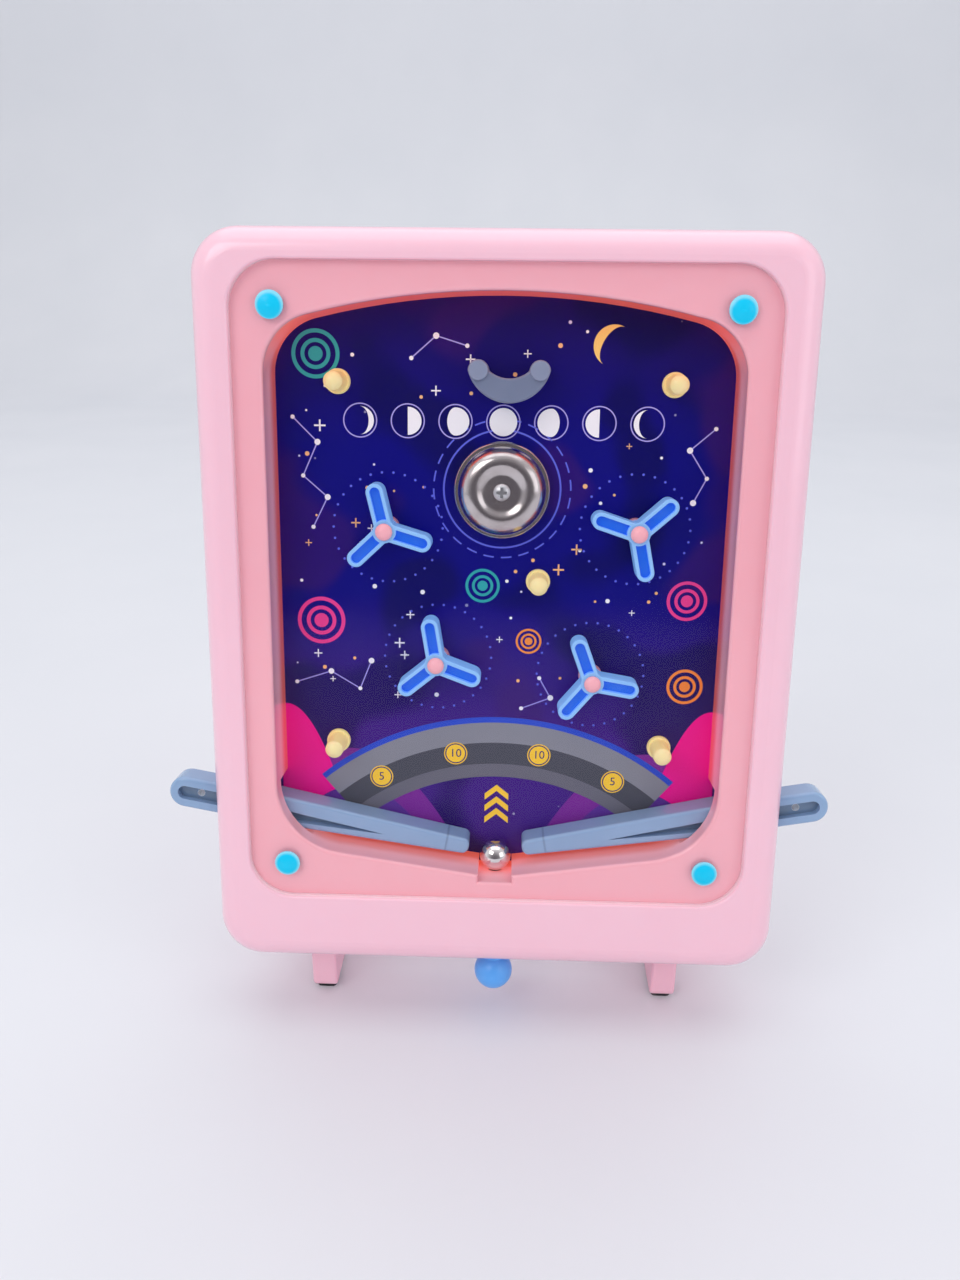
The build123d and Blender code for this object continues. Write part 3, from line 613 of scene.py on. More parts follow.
@dataclass(frozen=True)
class LeverPlastic(RecessShadedPlastic):
    """Plastic of the two levers, with a fine step line near each tip and painted light in the hole
    of each handle.

    Places are metres along the right lever from its pivot, and the left one mirrors it.
    """

    droop: float = 10.3
    pivot: Point = (0.086, 0.054)
    step: float = 0.0700
    step_half_width: float = 0.00035
    hole: float = -0.01736
    hole_radius: float = 0.0013
    seam: Colour = shade(112, 138, 172)
    # Pale colour painted in the handle's hole as the light seen through it.
    hole_light: Colour = shade(246, 250, 255)

    def tint(self, graph: Graph) -> Value:
        """Colour before flow marks, wear and painted edge highlights.

        Args:
            graph: The graph to fill.

        Returns:
            The colour.
        """
        across, height, _ = graph.on_face()
        side = abs(across) - self.pivot[0]
        rise = height - self.pivot[1]
        cos, sin = math.cos(math.radians(self.droop)), math.sin(math.radians(self.droop))
        along = -cos * side - sin * rise
        aside = cos * rise - sin * side
        line = (self.step_half_width - abs(along - self.step)).beyond(0.0, 0.0003)
        lined = graph.mix(0.7 * line, super().tint(graph), self.seam)
        # A pale disc paints the light seen through the handle's hole.
        far = along - self.hole
        inside = self.hole_radius - (far * far + aside * aside).root()
        return graph.mix(inside.beyond(0.0, 0.00008), lined, self.hole_light)


@dataclass(frozen=True)
class CapPlastic(MouldedPlastic):
    """Plastic of the four rivet caps, with a painted highlight that pales them towards their rims.
    Places are metres on the face.
    """

    # Pale cyan of the painted highlight round each cap's rim.
    rim: Colour = shade(150, 232, 252)
    half_span: float = 0.07095
    low: float = 0.037
    high: float = 0.2189
    radius: float = 0.0037
    rim_soft: float = 0.0012

    def tint(self, graph: Graph) -> Value:
        """Colour before flow marks, wear and painted edge highlights.

        Args:
            graph: The graph to fill.

        Returns:
            The colour.
        """
        across, height, _ = graph.on_face()
        side = abs(across) - self.half_span
        rise = abs(height - self.low).smaller(abs(height - self.high))
        # The cap pales towards its rim: a painted highlight.
        rim = (side * side + rise * rise).root().beyond(self.radius, self.rim_soft)
        return graph.mix(rim, self.colour, self.rim)


@dataclass(frozen=True)
class ClearSheet(Finish):
    """Clear polished sheet with a painted highlight on its cut edges, faint smears and dust."""

    name: str = "polished_sheet"
    body: Colour = shade(250, 244, 246)
    # Pale pink of the cut edges, a painted highlight.
    edge: Colour = shade(255, 226, 232)
    clear: Colour = (0.996, 0.99, 0.993)
    middle: float = 0.00225
    index: float = 1.46
    mirror_share: float = 0.25

    def shader(self, graph: Graph) -> Value:
        """Mixes a gloss into a clear shader.

        Args:
            graph: The graph to fill.

        Returns:
            The shader.
        """
        behind = graph.node("ShaderNodeNewGeometry", output="Backfacing")
        outer = (self.middle - graph.on_face()[2]).beyond(0.0, 0.0004) * (1.0 - behind)
        smear = graph.noise(38.0, 4.0).beyond(0.56, 0.3)
        dust = graph.noise(2600.0, 1.0).beyond(0.78, 0.06)
        mirror = graph.node("ShaderNodeFresnel", None, {"IOR": self.index})
        # The cut edges show partly opaque and pale: a painted highlight.
        cut = 1.0 - abs(graph.facing()).beyond(0.6, 0.5)
        share = outer * (self.mirror_share * mirror + 0.004 * smear + 0.02 * dust) + 0.2 * cut
        inputs = {
            "Base Color": graph.mix(cut, self.body, self.edge),
            "Metallic": 1.0 - cut,
            "Roughness": 0.05 + 0.1 * smear + 0.2 * cut,
            "Normal": graph.bump(graph.noise(9.0, 1.0), 0.00002),
        }
        gloss = graph.node("ShaderNodeBsdfPrincipled", None, inputs)
        through = graph.node("ShaderNodeBsdfTransparent", None, {"Color": solid(self.clear)})
        return graph.node("ShaderNodeMixShader", None, {0: share, 1: through, 2: gloss})


@dataclass(frozen=True)
class PrintedSky(Finish):
    """Glossy print: a night sky from indigo to violet with flat clouds, haze and specks."""

    name: str = "printed_sky"
    top: Colour = shade(30, 12, 102)
    middle: Colour = shade(4, 2, 126)
    low: Colour = shade(64, 26, 130)
    cloud: Colour = shade(58, 20, 108)
    night: Colour = shade(6, 4, 72)
    speck: Colour = shade(226, 222, 255)
    bottom_height: float = 0.03
    full_height: float = 0.195
    cloud_scale: float = 17.0
    speck_scale: float = 120.0
    grain_scale: float = 1900.0

    def sky(self, graph: Graph) -> Value:
        """Colour of the sky with its clouds and specks.

        Args:
            graph: The graph to fill.

        Returns:
            The colour.
        """
        across, height, _ = graph.on_face()
        flat = graph.node("ShaderNodeCombineXYZ", None, {0: across, 1: height})
        rise = (height - self.bottom_height) / self.full_height
        tones = (self.low, self.low, self.middle, self.middle, self.top)
        stops = [(0.25 * place, tone) for place, tone in enumerate(tones)]
        sky = graph.node("ShaderNodeValToRGB", {"stops": stops}, {0: rise})
        clouds = graph.noise(self.cloud_scale, 1.5, flat)
        sky = graph.mix(clouds.beyond(0.57, 0.05) * 0.55, sky, self.cloud)
        sky = graph.mix((0.43 - clouds).beyond(0.0, 0.06) * 0.6, sky, self.night)
        inputs = {"Vector": flat, "Scale": self.speck_scale}
        cells = graph.node("ShaderNodeTexVoronoi", {"feature": "F1"}, inputs)
        pick = graph.node("ShaderNodeSeparateXYZ", None, {0: cells.sibling("Color")})
        reach = 0.02 + 0.05 * pick.sibling("Y")
        dots = (reach - cells).beyond(0.0, 0.02) * pick.beyond(0.45, 0.02)
        return graph.mix(dots * (0.35 + 0.6 * pick.sibling("Z")), sky, self.speck)

    def sockets(self, graph: Graph) -> dict[str, Any]:
        """Values and links of the Principled shader.

        Args:
            graph: The graph to fill.

        Returns:
            They, by socket.
        """
        grain = graph.noise(self.grain_scale, 1.0)
        return {
            "Base Color": graph.mix((grain - 0.4) * 0.08, self.sky(graph), self.night),
            "Roughness": 0.31 + 0.06 * grain,
            "Normal": graph.bump(graph.noise(420.0, 2.0), 0.0000004),
            "Specular IOR Level": 0.12,
            "Coat Weight": 0.05,
            "Coat Roughness": 0.08,
        }


@dataclass(frozen=True)
class Ink(Finish):
    """Printed ink with a fade, a fine dot screen and a slight gloss."""

    name: str
    colour: Colour
    fade: Colour
    low: float = 0.03
    high: float = 0.22
    screen: float = 24000.0
    patch_scale: float = 300.0

    def sockets(self, graph: Graph) -> dict[str, Any]:
        """Values and links of the Principled shader.

        Args:
            graph: The graph to fill.

        Returns:
            They, by socket.
        """
        across, height, _ = graph.on_face()
        rise = height.beyond((self.low + self.high) / 2, self.high - self.low)
        dots = (across * self.screen).sine() * (height * self.screen).sine()
        patchy = graph.noise(self.patch_scale, 3.0)
        colour = graph.mix(rise, self.colour, self.fade)
        colour = graph.mix(0.04 + 0.04 * dots, colour, self.fade)
        dark = tuple(0.6 * part for part in self.colour)
        return {
            "Base Color": graph.mix((patchy - 0.45) * 0.1, colour, dark),
            "Roughness": 0.31 + 0.06 * patchy,
            "Normal": graph.bump(patchy, 0.0000004),
            "Specular IOR Level": 0.12,
            "Coat Weight": 0.05,
            "Coat Roughness": 0.1,
        }


class Tone(Enum):
    """The inks of the print, each with its screen colour and the one that it fades to."""

    PLUM = ((120, 40, 150), (150, 44, 160))
    MAGENTA = ((240, 0, 150), (244, 16, 160))
    VIOLET = ((92, 50, 150), (70, 40, 140))
    BLUE = ((40, 70, 196), (66, 104, 226))
    PALE_GREY = ((132, 134, 146), (150, 152, 164))
    DARK_GREY = ((74, 76, 88), (92, 94, 108))
    MID_GREY = ((104, 104, 118), (120, 120, 134))
    YELLOW = ((250, 206, 66), (246, 186, 40))
    NAVY = ((30, 34, 110), (40, 44, 130))
    SKY_BLUE = ((84, 92, 214), (104, 112, 236))
    PINK = ((228, 44, 138), (240, 84, 160))
    TEAL = ((36, 150, 160), (58, 178, 180))
    ORANGE = ((240, 132, 52), (248, 160, 84))
    WHITE = ((236, 234, 246), (250, 250, 255))
    LILAC = ((150, 140, 226), (176, 168, 240))
    GOLD = ((250, 196, 88), (255, 216, 124))
    PEACH = ((248, 176, 110), (252, 196, 140))

    @property
    def ink(self) -> Ink:
        """The tone as a finish."""
        colour, fade = self.value
        return Ink(f"ink_{self.name.lower()}", shade(*colour), shade(*fade))


@dataclass(frozen=True)
class PlatedMetal(Finish):
    """Plated or polished metal with fine turned lines and fingermarks."""

    name: str
    colour: Colour
    dull: Colour
    centre: Point = (0.0, 0.0)
    roughness: float = 0.07
    ring_scale: float = 4200.0
    ring_depth: float = 0.0000015
    mark_scale: float = 120.0

    def sockets(self, graph: Graph) -> dict[str, Any]:
        """Values and links of the Principled shader.

        Args:
            graph: The graph to fill.

        Returns:
            They, by socket.
        """
        across, height, depth = graph.on_face()
        side = across - self.centre[0]
        rise = height - self.centre[1]
        radius = (side * side + rise * rise).root()
        turned = graph.node("ShaderNodeCombineXYZ", None, {0: radius, 1: depth})
        rings = graph.noise(self.ring_scale, 2.0, turned)
        marks = graph.noise(self.mark_scale, 4.0).beyond(0.52, 0.35)
        return {
            "Base Color": graph.mix(0.5 * marks, self.colour, self.dull),
            "Metallic": 1.0,
            "Roughness": self.roughness + 0.08 * marks + 0.04 * rings,
            "Normal": graph.bump(rings, self.ring_depth),
        }


@dataclass(frozen=True)
class DrawnSteel(Finish):
    """Plain drawn steel with lines along it and a light stain."""

    name: str = "drawn_steel"
    colour: Colour = shade(196, 197, 200)
    stain: Colour = shade(150, 146, 140)
    line_scale: float = 5200.0
    line_stretch: tuple[float, float, float] = (1.0, 1.0, 0.06)
    line_depth: float = 0.000004
    stain_scale: float = 210.0

    def sockets(self, graph: Graph) -> dict[str, Any]:
        """Values and links of the Principled shader.

        Args:
            graph: The graph to fill.

        Returns:
            They, by socket.
        """
        scaled = graph.node("ShaderNodeMapping", None, {0: graph.place(), 3: self.line_stretch})
        lines = graph.noise(self.line_scale, 2.0, scaled)
        stains = graph.noise(self.stain_scale, 3.0).beyond(0.58, 0.3)
        return {
            "Base Color": graph.mix(0.6 * stains, self.colour, self.stain),
            "Metallic": 1.0,
            "Roughness": 0.3 + 0.14 * lines + 0.1 * stains,
            "Normal": graph.bump(lines, self.line_depth),
        }


@dataclass(frozen=True)
class SoftRubber(Finish):
    """Matt black rubber with a grained skin and scuffs."""

    name: str = "soft_rubber"
    colour: Colour = shade(42, 42, 45)
    scuff: Colour = shade(92, 91, 92)
    grain_scale: float = 1800.0
    grain_depth: float = 0.00004
    scuff_scale: float = 320.0

    def sockets(self, graph: Graph) -> dict[str, Any]:
        """Values and links of the Principled shader.

        Args:
            graph: The graph to fill.

        Returns:
            They, by socket.
        """
        grain = graph.noise(self.grain_scale, 3.0)
        scuffs = graph.noise(self.scuff_scale, 4.0).beyond(0.6, 0.25)
        return {
            "Base Color": graph.mix(0.6 * scuffs, self.colour, self.scuff),
            "Roughness": 0.72 + 0.2 * grain,
            "Normal": graph.bump(grain, self.grain_depth),
        }


class Slot(Enum):
    """The record's material slots."""

    CASE = "case_pink"
    SHEET = "clear_sheet"
    RIVET = "rivet_blue"
    PANEL = "panel_board"
    PRINT = "print"
    PEG = "peg_cream"
    CUP = "cup_grey"
    BELL = "bell_chrome"
    STEEL = "steel"
    SPINNER = "spinner_blue"
    PIN = "pin_pink"
    LEVER = "lever_grey"
    BALL = "ball_steel"
    KNOB = "knob_blue"
    GUIDE = "guide_white"
    PAD = "pad_rubber"


BELL_CENTRE: Point = (0.0, 0.1634)

FINISHES: dict[Slot, Finish] = {
    Slot.CASE: CasePlastic(
        "case_plastic",
        shade(255, 202, 219),
        shade(253, 193, 211),
        shade(255, 226, 238),
        glow=0.1,
        edge=0.0,
        coat=0.8,
    ),
    Slot.SHEET: ClearSheet(),
    Slot.RIVET: CapPlastic(
        "rivet_plastic",
        shade(0, 206, 248),
        shade(0, 194, 240),
        shade(176, 236, 252),
        roughness=0.2,
        gloss=0.15,
        coat=0.05,
    ),
    Slot.PANEL: MouldedPlastic(
        "panel_plastic",
        shade(212, 208, 202),
        shade(196, 192, 186),
        shade(228, 226, 222),
        roughness=0.5,
    ),
    Slot.PRINT: PrintedSky(),
    Slot.PEG: MouldedPlastic(
        "peg_plastic",
        shade(255, 238, 178),
        shade(253, 228, 154),
        shade(255, 248, 220),
        glow=0.3,
        through=shade(255, 206, 79),
        seep=0.25,
    ),
    Slot.CUP: RecessShadedPlastic(
        "cup_plastic",
        shade(139, 149, 176),
        shade(130, 141, 168),
        shade(188, 197, 216),
        glow=0.1,
        floor=shade(114, 125, 153),
        floor_depth=0.0096,
    ),
    Slot.BELL: PlatedMetal(
        "bell_plate", shade(202, 196, 196), shade(168, 157, 155), BELL_CENTRE, roughness=0.14
    ),
    Slot.STEEL: DrawnSteel(),
    Slot.SPINNER: RecessShadedPlastic(
        "spinner_plastic",
        shade(150, 204, 255),
        shade(124, 184, 252),
        shade(206, 232, 255),
        gloss=0.25,
        floor=shade(0, 110, 228),
        through=shade(110, 180, 255),
        seep=0.2,
    ),
    Slot.PIN: MouldedPlastic(
        "pin_plastic", shade(254, 184, 194), shade(248, 164, 180), shade(255, 222, 228), glow=0.1
    ),
    Slot.LEVER: LeverPlastic(
        "lever_plastic",
        shade(142, 172, 209),
        shade(131, 162, 200),
        shade(196, 216, 238),
        roughness=0.2,
        coat=0.4,
        glow=0.08,
        floor=shade(98, 122, 150),
        floor_depth=0.0112,
    ),
    Slot.BALL: PlatedMetal(
        "ball_plate", shade(228, 224, 222), shade(204, 198, 196), roughness=0.04
    ),
    Slot.KNOB: MouldedPlastic(
        "knob_plastic", shade(96, 178, 255), shade(80, 164, 252), shade(156, 204, 250), glow=0.05
    ),
    Slot.GUIDE: MouldedPlastic(
        "guide_plastic",
        shade(232, 230, 224),
        shade(216, 214, 208),
        shade(244, 243, 240),
        roughness=0.42,
    ),
    Slot.PAD: SoftRubber(),
}

BACK_PLASTIC = MouldedPlastic(
    "back_plastic",
    shade(254, 198, 215),
    shade(251, 189, 207),
    shade(255, 224, 236),
    roughness=0.36,
    skin_depth=0.000005,
    glow=0.1,
)


def link_mesh(name: str, sheet: bmesh.types.BMesh, finish: Finish) -> bpy.types.Object:
    """Makes a mesh into an object of the scene.

    Args:
        name: The piece's name.
        sheet: The finished mesh, in the row frame, which is freed here.
        finish: Its finish.

    Returns:
        The object.
    """
    mesh = bpy.data.meshes.new(name)
    sheet.to_mesh(mesh)
    sheet.free()
    mesh.materials.append(finish.material())
    piece = bpy.data.objects.new(name, mesh)
    bpy.context.scene.collection.objects.link(piece)
    return piece


def round_trip(count: int) -> list[tuple[int, int]]:
    """Each place of a closed outline with the one after it."""
    return [(here, (here + 1) % count) for here in range(count)]


class InkLayer:
    """Flat printed shapes of one ink, raised into one thin closed mesh on the playfield."""

    step: float = 0.018 * MILLIMETRE
    sunk: float = 0.01 * MILLIMETRE

    def __init__(self, name: str, tone: Tone, order: int) -> None:
        """Starts an empty layer.

        Args:
            name: The piece's name.
            tone: Its ink.
            order: Its place in the stack of inks, from 1.
        """
        self.name = name
        self.ink = tone.ink
        self.front = STANCE.playfield - order * self.step
        self.back = STANCE.playfield + self.sunk
        self.mesh = bmesh.new()

    def loop(self, points: Sequence[Point], depth: float) -> list[bmesh.types.BMVert]:
        """Corners of an outline in millimetres on the face, at a depth in metres."""
        spots = [STANCE.spot(x * MILLIMETRE, h * MILLIMETRE, depth) for x, h in points]
        return [self.mesh.verts.new(spot) for spot in spots]

    def patch(self, points: Sequence[Point]) -> None:
        """Adds a filled outline.

        Args:
            points: Its corners, in millimetres on the face, anticlockwise.
        """
        front = self.loop(points, self.front)
        back = self.loop(points, self.back)
        self.mesh.faces.new(front)
        self.mesh.faces.new(back[::-1])
        for here, after in round_trip(len(points)):
            self.mesh.faces.new((front[after], front[here], back[here], back[after]))

    def ribbon(self, outer: Sequence[Point], inner: Sequence[Point]) -> None:
        """Adds a closed ring between two outlines with as many corners.

        Args:
            outer: Outer outline, anticlockwise, in millimetres.
            inner: Inner outline, anticlockwise, in millimetres.
        """
        sides = ((outer, self.front), (outer, self.back), (inner, self.front), (inner, self.back))
        outer_front, outer_back, inner_front, inner_back = (self.loop(*side) for side in sides)
        for here, after in round_trip(len(outer)):
            for one, two in (
                (outer_front, inner_front),
                (inner_front, inner_back),
                (inner_back, outer_back),
                (outer_back, outer_front),
            ):
                self.mesh.faces.new((one[here], one[after], two[after], two[here]))

    @staticmethod
    def on_circle(centre: Point, radius: float, angle: float) -> Point:
        """Point on a circle, at an angle in radians."""
        return centre[0] + radius * math.cos(angle), centre[1] + radius * math.sin(angle)

    def arc(self, centre: Point, radius: float, ends: Point, steps: int) -> list[Point]:
        """Points along an arc between two angles in degrees."""
        turns = [ends[0] + (ends[1] - ends[0]) * step / steps for step in range(steps + 1)]
        return [self.on_circle(centre, radius, math.radians(turn)) for turn in turns]

    def disc(self, centre: Point, radius: float, steps: int = 40) -> None:
        """Adds a filled circle."""
        self.patch(self.arc(centre, radius, (0, 360), steps)[:-1])

    def ring(self, centre: Point, inner: float, outer: float, steps: int = 72) -> None:
        """Adds a ring."""
        rims = [self.arc(centre, radius, (0, 360), steps)[:-1] for radius in (outer, inner)]
        self.ribbon(*rims)

    def band(self, centre: Point, radii: Point, ends: Point, steps: int = 60) -> None:
        """Adds a stretch of a ring between two radii and two angles in degrees."""
        far = self.arc(centre, radii[1], ends, steps)
        self.patch(far + self.arc(centre, radii[0], ends[::-1], steps))

    def line(self, start: Point, end: Point, width: float) -> None:
        """Adds a straight line.

        Args:
            start: Its first end.
            end: Its other end.
            width: Its width.
        """
        run = Vector((end[0] - start[0], end[1] - start[1])).normalized() * width / 2
        corners = [(start, 1), (start, -1), (end, -1), (end, 1)]
        self.patch([(point[0] - side * run.y, point[1] + side * run.x) for point, side in corners])

    def moon(self, centre: Point, radius: float, lit: float, turn: float) -> None:
        """Adds a moon.

        Args:
            centre: Its middle.
            radius: Its radius.
            lit: 1 for a full moon, 0 for half and below 0 for a crescent.
            turn: Turn of its lit side, in degrees.
        """
        half = 24
        limb = [math.radians(-90 + 180 * step / half) for step in range(half + 1)]
        outline = [(radius * math.cos(a), radius * math.sin(a)) for a in limb]
        outline += [(-lit * radius * math.cos(a), radius * math.sin(a)) for a in limb[-2:0:-1]]
        cos, sin = math.cos(math.radians(turn)), math.sin(math.radians(turn))
        turned = [(x * cos - y * sin, x * sin + y * cos) for x, y in outline]
        self.patch([(centre[0] + x, centre[1] + y) for x, y in turned])

    def hill(self, middle: float, half_width: float, foot: float, top: float) -> None:
        """Adds a rounded hill, cut off at the sides of the sheet.

        Args:
            middle: Place of its top, across.
            half_width: Its reach to each side.
            foot: Height of its foot.
            top: Height of its top.
        """
        steps, limit, lip = 48, 76.0, 0.05
        low = max(middle - half_width, -limit)
        high = min(middle + half_width, limit)
        ridge = []
        for step in range(steps + 1):
            x = high + (low - high) * step / steps
            rise = math.cos((x - middle) / half_width * math.pi / 2)
            ridge.append((x, foot + (top - foot) * max(rise, 0.0) ** 0.8 + lip))
        self.patch([(low, foot), (high, foot)] + ridge)

    def digits(self, number: int, centre: Point, size: float) -> None:
        """Adds a plain number.

        Args:
            number: The number.
            centre: Its middle.
            size: Height of its type, in millimetres.
        """
        text = bpy.data.curves.new("digits", "FONT")
        text.body = str(number)
        text.size = size
        text.align_x = "CENTER"
        text.align_y = "CENTER"
        text.fill_mode = "FRONT"
        text.resolution_u = 4
        holder = bpy.data.objects.new("digits", text)
        bpy.context.scene.collection.objects.link(holder)
        shown = holder.evaluated_get(bpy.context.evaluated_depsgraph_get())
        flat = bpy.data.meshes.new_from_object(shown)
        shapes = bmesh.new()
        shapes.from_mesh(flat)
        bmesh.ops.remove_doubles(shapes, verts=shapes.verts, dist=size / 5000)
        for face in shapes.faces:
            corners = [(centre[0] + v.co.x, centre[1] + v.co.y) for v in face.verts]
            if face.normal.z < 0:
                corners.reverse()
            self.patch(corners)
        shapes.free()
        bpy.data.objects.remove(holder)
        bpy.data.curves.remove(text)
        bpy.data.meshes.remove(flat)

    def piece(self) -> None:
        """Finishes the layer as a piece that rides on the case."""
        bmesh.ops.recalc_face_normals(self.mesh, faces=self.mesh.faces)
        made = link_mesh(self.name, self.mesh, self.ink)
        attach(made, "case")
        LOG.info("printed %s", self.name)


class Assembly:
    """Pieces that are built and dressed together."""

    def build(self) -> None:
        """Adds meshes, none where the solids are the shape."""

    def outfit(self) -> dict[str, Slot | Finish]:
        """The finish of each node, or the slot that has it."""
        raise NotImplementedError

    def dress(self) -> None:
        """Gives each node its finish."""
        for name, choice in self.outfit().items():
            finish = FINISHES[choice] if isinstance(choice, Slot) else choice
            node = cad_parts[name]
            node.data.materials.clear()
            node.data.materials.append(finish.material())
            LOG.info("dressed %s with %s", name, finish.name)


@dataclass
class Case(Assembly):
    """The frame, back, clear cover and what holds them."""

    sheet: str = "clear_cover"
    sheet_middle: float = 2.25 * MILLIMETRE
    sheet_gap: float = 0.06 * MILLIMETRE

    def build(self) -> None:
        """Lays the clear sheet a hair off its ledge, as two faces at one place show as streaks."""
        sheet = bmesh.new()
        sheet.from_mesh(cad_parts[self.sheet].data)
        for corner in sheet.verts:
            if (corner.co - STANCE.corner).dot(STANCE.inward) > self.sheet_middle:
                corner.co -= STANCE.inward * self.sheet_gap
        cover = link_mesh("polished_cover", sheet, FINISHES[Slot.SHEET])
        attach(cover, "case")
        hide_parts(self.sheet)
        LOG.info("laid the clear cover")

    def outfit(self) -> dict[str, Slot | Finish]:
        """The finish of each node, or the slot that has it."""
        return {
            "front_frame": Slot.CASE,
            "back_cover": BACK_PLASTIC,
            "cover_rivets": Slot.RIVET,
            "panel_screws": Slot.STEEL,
            "cover_screws": Slot.STEEL,
        }


@dataclass
class Playfield(Assembly):
    """The panel and its printed sheet, with the inks on it. Places are millimetres on the face."""

    spinners: tuple[Point, ...] = ((-37.9, 150.2), (44.4, 150.8), (-21.0, 105.9), (31.4, 100.6))
    spinner_ring: float = 18.3
    bell: Point = (0.0, 163.4)
    phase_height: float = 185.2
    phase_pitch: float = 15.6
    phase_radius: float = 4.5
    phases: tuple[float, ...] = (-0.62, 0.0, 0.6, 1.0, 0.6, 0.0, -0.62)
    arch: Point = (0.0, -12.0)
    arch_ends: Point = (50.0, 130.0)
    arch_discs: float = 84.2
    disc_radius: float = 4.1
    chevron_lows: tuple[float, ...] = (45.0, 49.4, 53.8)
    chevron_half: float = 4.2
    chevron_rise: float = 3.4
    chevron_width: float = 2.3
    crescent: Point = (35.0, 209.5)
    crescent_radius: float = 6.6
    ripples: tuple[tuple[float, float, float], ...] = (
        (-61.0, 118.0, 8.2),
        (63.0, 127.0, 6.8),
        (-6.0, 131.0, 5.8),
        (-61.0, 206.0, 7.8),
        (10.0, 112.0, 4.4),
        (64.0, 97.0, 6.2),
    )
    figures: tuple[tuple[Point, ...], ...] = (
        ((-69, 186), (-61, 178), (-66, 167), (-58, 160), (-63, 150)),
        ((69, 184), (61, 177), (67, 168), (63, 160)),
        ((-70, 96), (-58, 100), (-48, 94), (-44, 104)),
        ((-30, 205), (-22, 212), (-12, 209)),
        ((8, 88), (18, 92), (14, 99)),
    )
    seed: int = 7

    def build(self) -> None:
        """Prints the inks, lowest first."""
        self.print_hills()
        self.print_arch()
        self.print_rings()
        self.print_moons()
        self.print_figures()
        self.print_dots()

    def outfit(self) -> dict[str, Slot | Finish]:
        """The finish of each node, or the slot that has it."""
        return {"playfield_panel": Slot.PANEL, "playfield_print": Slot.PRINT}

    def print_hills(self) -> None:
        """Rounded hills in the lower corners."""
        hills = (
            ("print_hills_far", Tone.PLUM, 52, 40, 31, 72),
            ("print_hills_near", Tone.MAGENTA, 74, 24, 33, 88),
            ("print_hills_front", Tone.VIOLET, 50, 30, 31, 58),
        )
        for order, (name, tone, middle, half_width, foot, top) in enumerate(hills, 1):
            layer = InkLayer(name, tone, order)
            for side in (-1, 1):
                layer.hill(side * middle, half_width, foot, top)
            layer.piece()

    def print_arch(self) -> None:
        """A low arch of plain bands with numbered discs, and chevrons under it."""
        bands = (
            ("print_arch_edge", Tone.BLUE, (94.6, 96.6)),
            ("print_arch_pale", Tone.PALE_GREY, (87.2, 94.6)),
            ("print_arch_dark", Tone.DARK_GREY, (79.4, 87.2)),
            ("print_arch_low", Tone.MID_GREY, (74.6, 79.4)),
        )
        for name, tone, radii in bands:
            layer = InkLayer(name, tone, 4)
            layer.band(self.arch, radii, self.arch_ends)
            layer.piece()
        discs = InkLayer("print_discs", Tone.YELLOW, 5)
        rims = InkLayer("print_disc_rims", Tone.NAVY, 6)
        numbers = InkLayer("print_numbers", Tone.NAVY, 6)
        for angle, number in ((-29, 5), (-10, 10), (10, 10), (29, 5)):
            centre = discs.on_circle(self.arch, self.arch_discs, math.radians(90 - angle))
            discs.disc(centre, self.disc_radius)
            rims.ring(centre, self.disc_radius - 0.8, self.disc_radius - 0.4)
            numbers.digits(number, centre, self.disc_radius + 0.1)
        chevrons = InkLayer("print_chevrons", Tone.YELLOW, 5)
        half = self.chevron_half
        for low in self.chevron_lows:
            under = [(-half, low), (0.0, low + self.chevron_rise), (half, low)]
            chevrons.patch(under + [(x, h + self.chevron_width) for x, h in under[::-1]])
        for layer in (discs, rims, numbers, chevrons):
            layer.piece()

    def print_rings(self) -> None:
        """Rings round the bell, dotted rings round the spinners and ripples between them."""
        blue = InkLayer("print_rings", Tone.SKY_BLUE, 3)
        blue.ring(self.bell, 19.0, 19.6)
        for turn in range(0, 360, 15):
            blue.band(self.bell, (22.4, 22.9), (turn, turn + 9), 6)
        for centre in self.spinners:
            for turn in range(0, 360, 12):
                dot = blue.on_circle(centre, self.spinner_ring, math.radians(turn))
                blue.disc(dot, 0.42, 12)
        blue.piece()
        tones = (Tone.PINK, Tone.TEAL, Tone.ORANGE)
        for tone, pair in zip(tones, zip(self.ripples[::2], self.ripples[1::2])):
            layer = InkLayer(f"print_ripples_{tone.name.lower()}", tone, 2)
            for x, h, radius in pair:
                layer.disc((x, h), radius * 0.3)
                layer.ring((x, h), radius * 0.46, radius * 0.62)
                layer.ring((x, h), radius * 0.84, radius)
            layer.piece()

    def moons(self) -> list[Point]:
        """Middles of the moon phases, in a row over the bell."""
        places = [n - (len(self.phases) - 1) / 2 for n in range(len(self.phases))]
        return [(place * self.phase_pitch, self.phase_height) for place in places]

    def print_moons(self) -> None:
        """A row of moon phases over the bell and one large crescent."""
        white = InkLayer("print_moon_phases", Tone.WHITE, 4)
        outline = InkLayer("print_moon_rims", Tone.LILAC, 3)
        for centre, lit in zip(self.moons(), self.phases):
            white.moon(centre, self.phase_radius, lit, 0 if centre[0] < 0 else 180)
            outline.ring(centre, self.phase_radius + 0.7, self.phase_radius + 1.1)
        gold = InkLayer("print_crescent", Tone.GOLD, 4)
        gold.moon(self.crescent, self.crescent_radius, -0.55, 150)
        for layer in (white, outline, gold):
            layer.piece()

    def print_figures(self) -> None:
        """Made-up constellations of dots and lines."""
        lines = InkLayer("print_figure_lines", Tone.LILAC, 2)
        stars = InkLayer("print_figure_stars", Tone.WHITE, 4)
        for figure in self.figures:
            for start, end in zip(figure, figure[1:]):
                lines.line(start, end, 0.4)
            for place, star in enumerate(figure):
                stars.disc(star, 1.0 if place % 2 else 0.7, 16)
        for layer in (lines, stars):
            layer.piece()

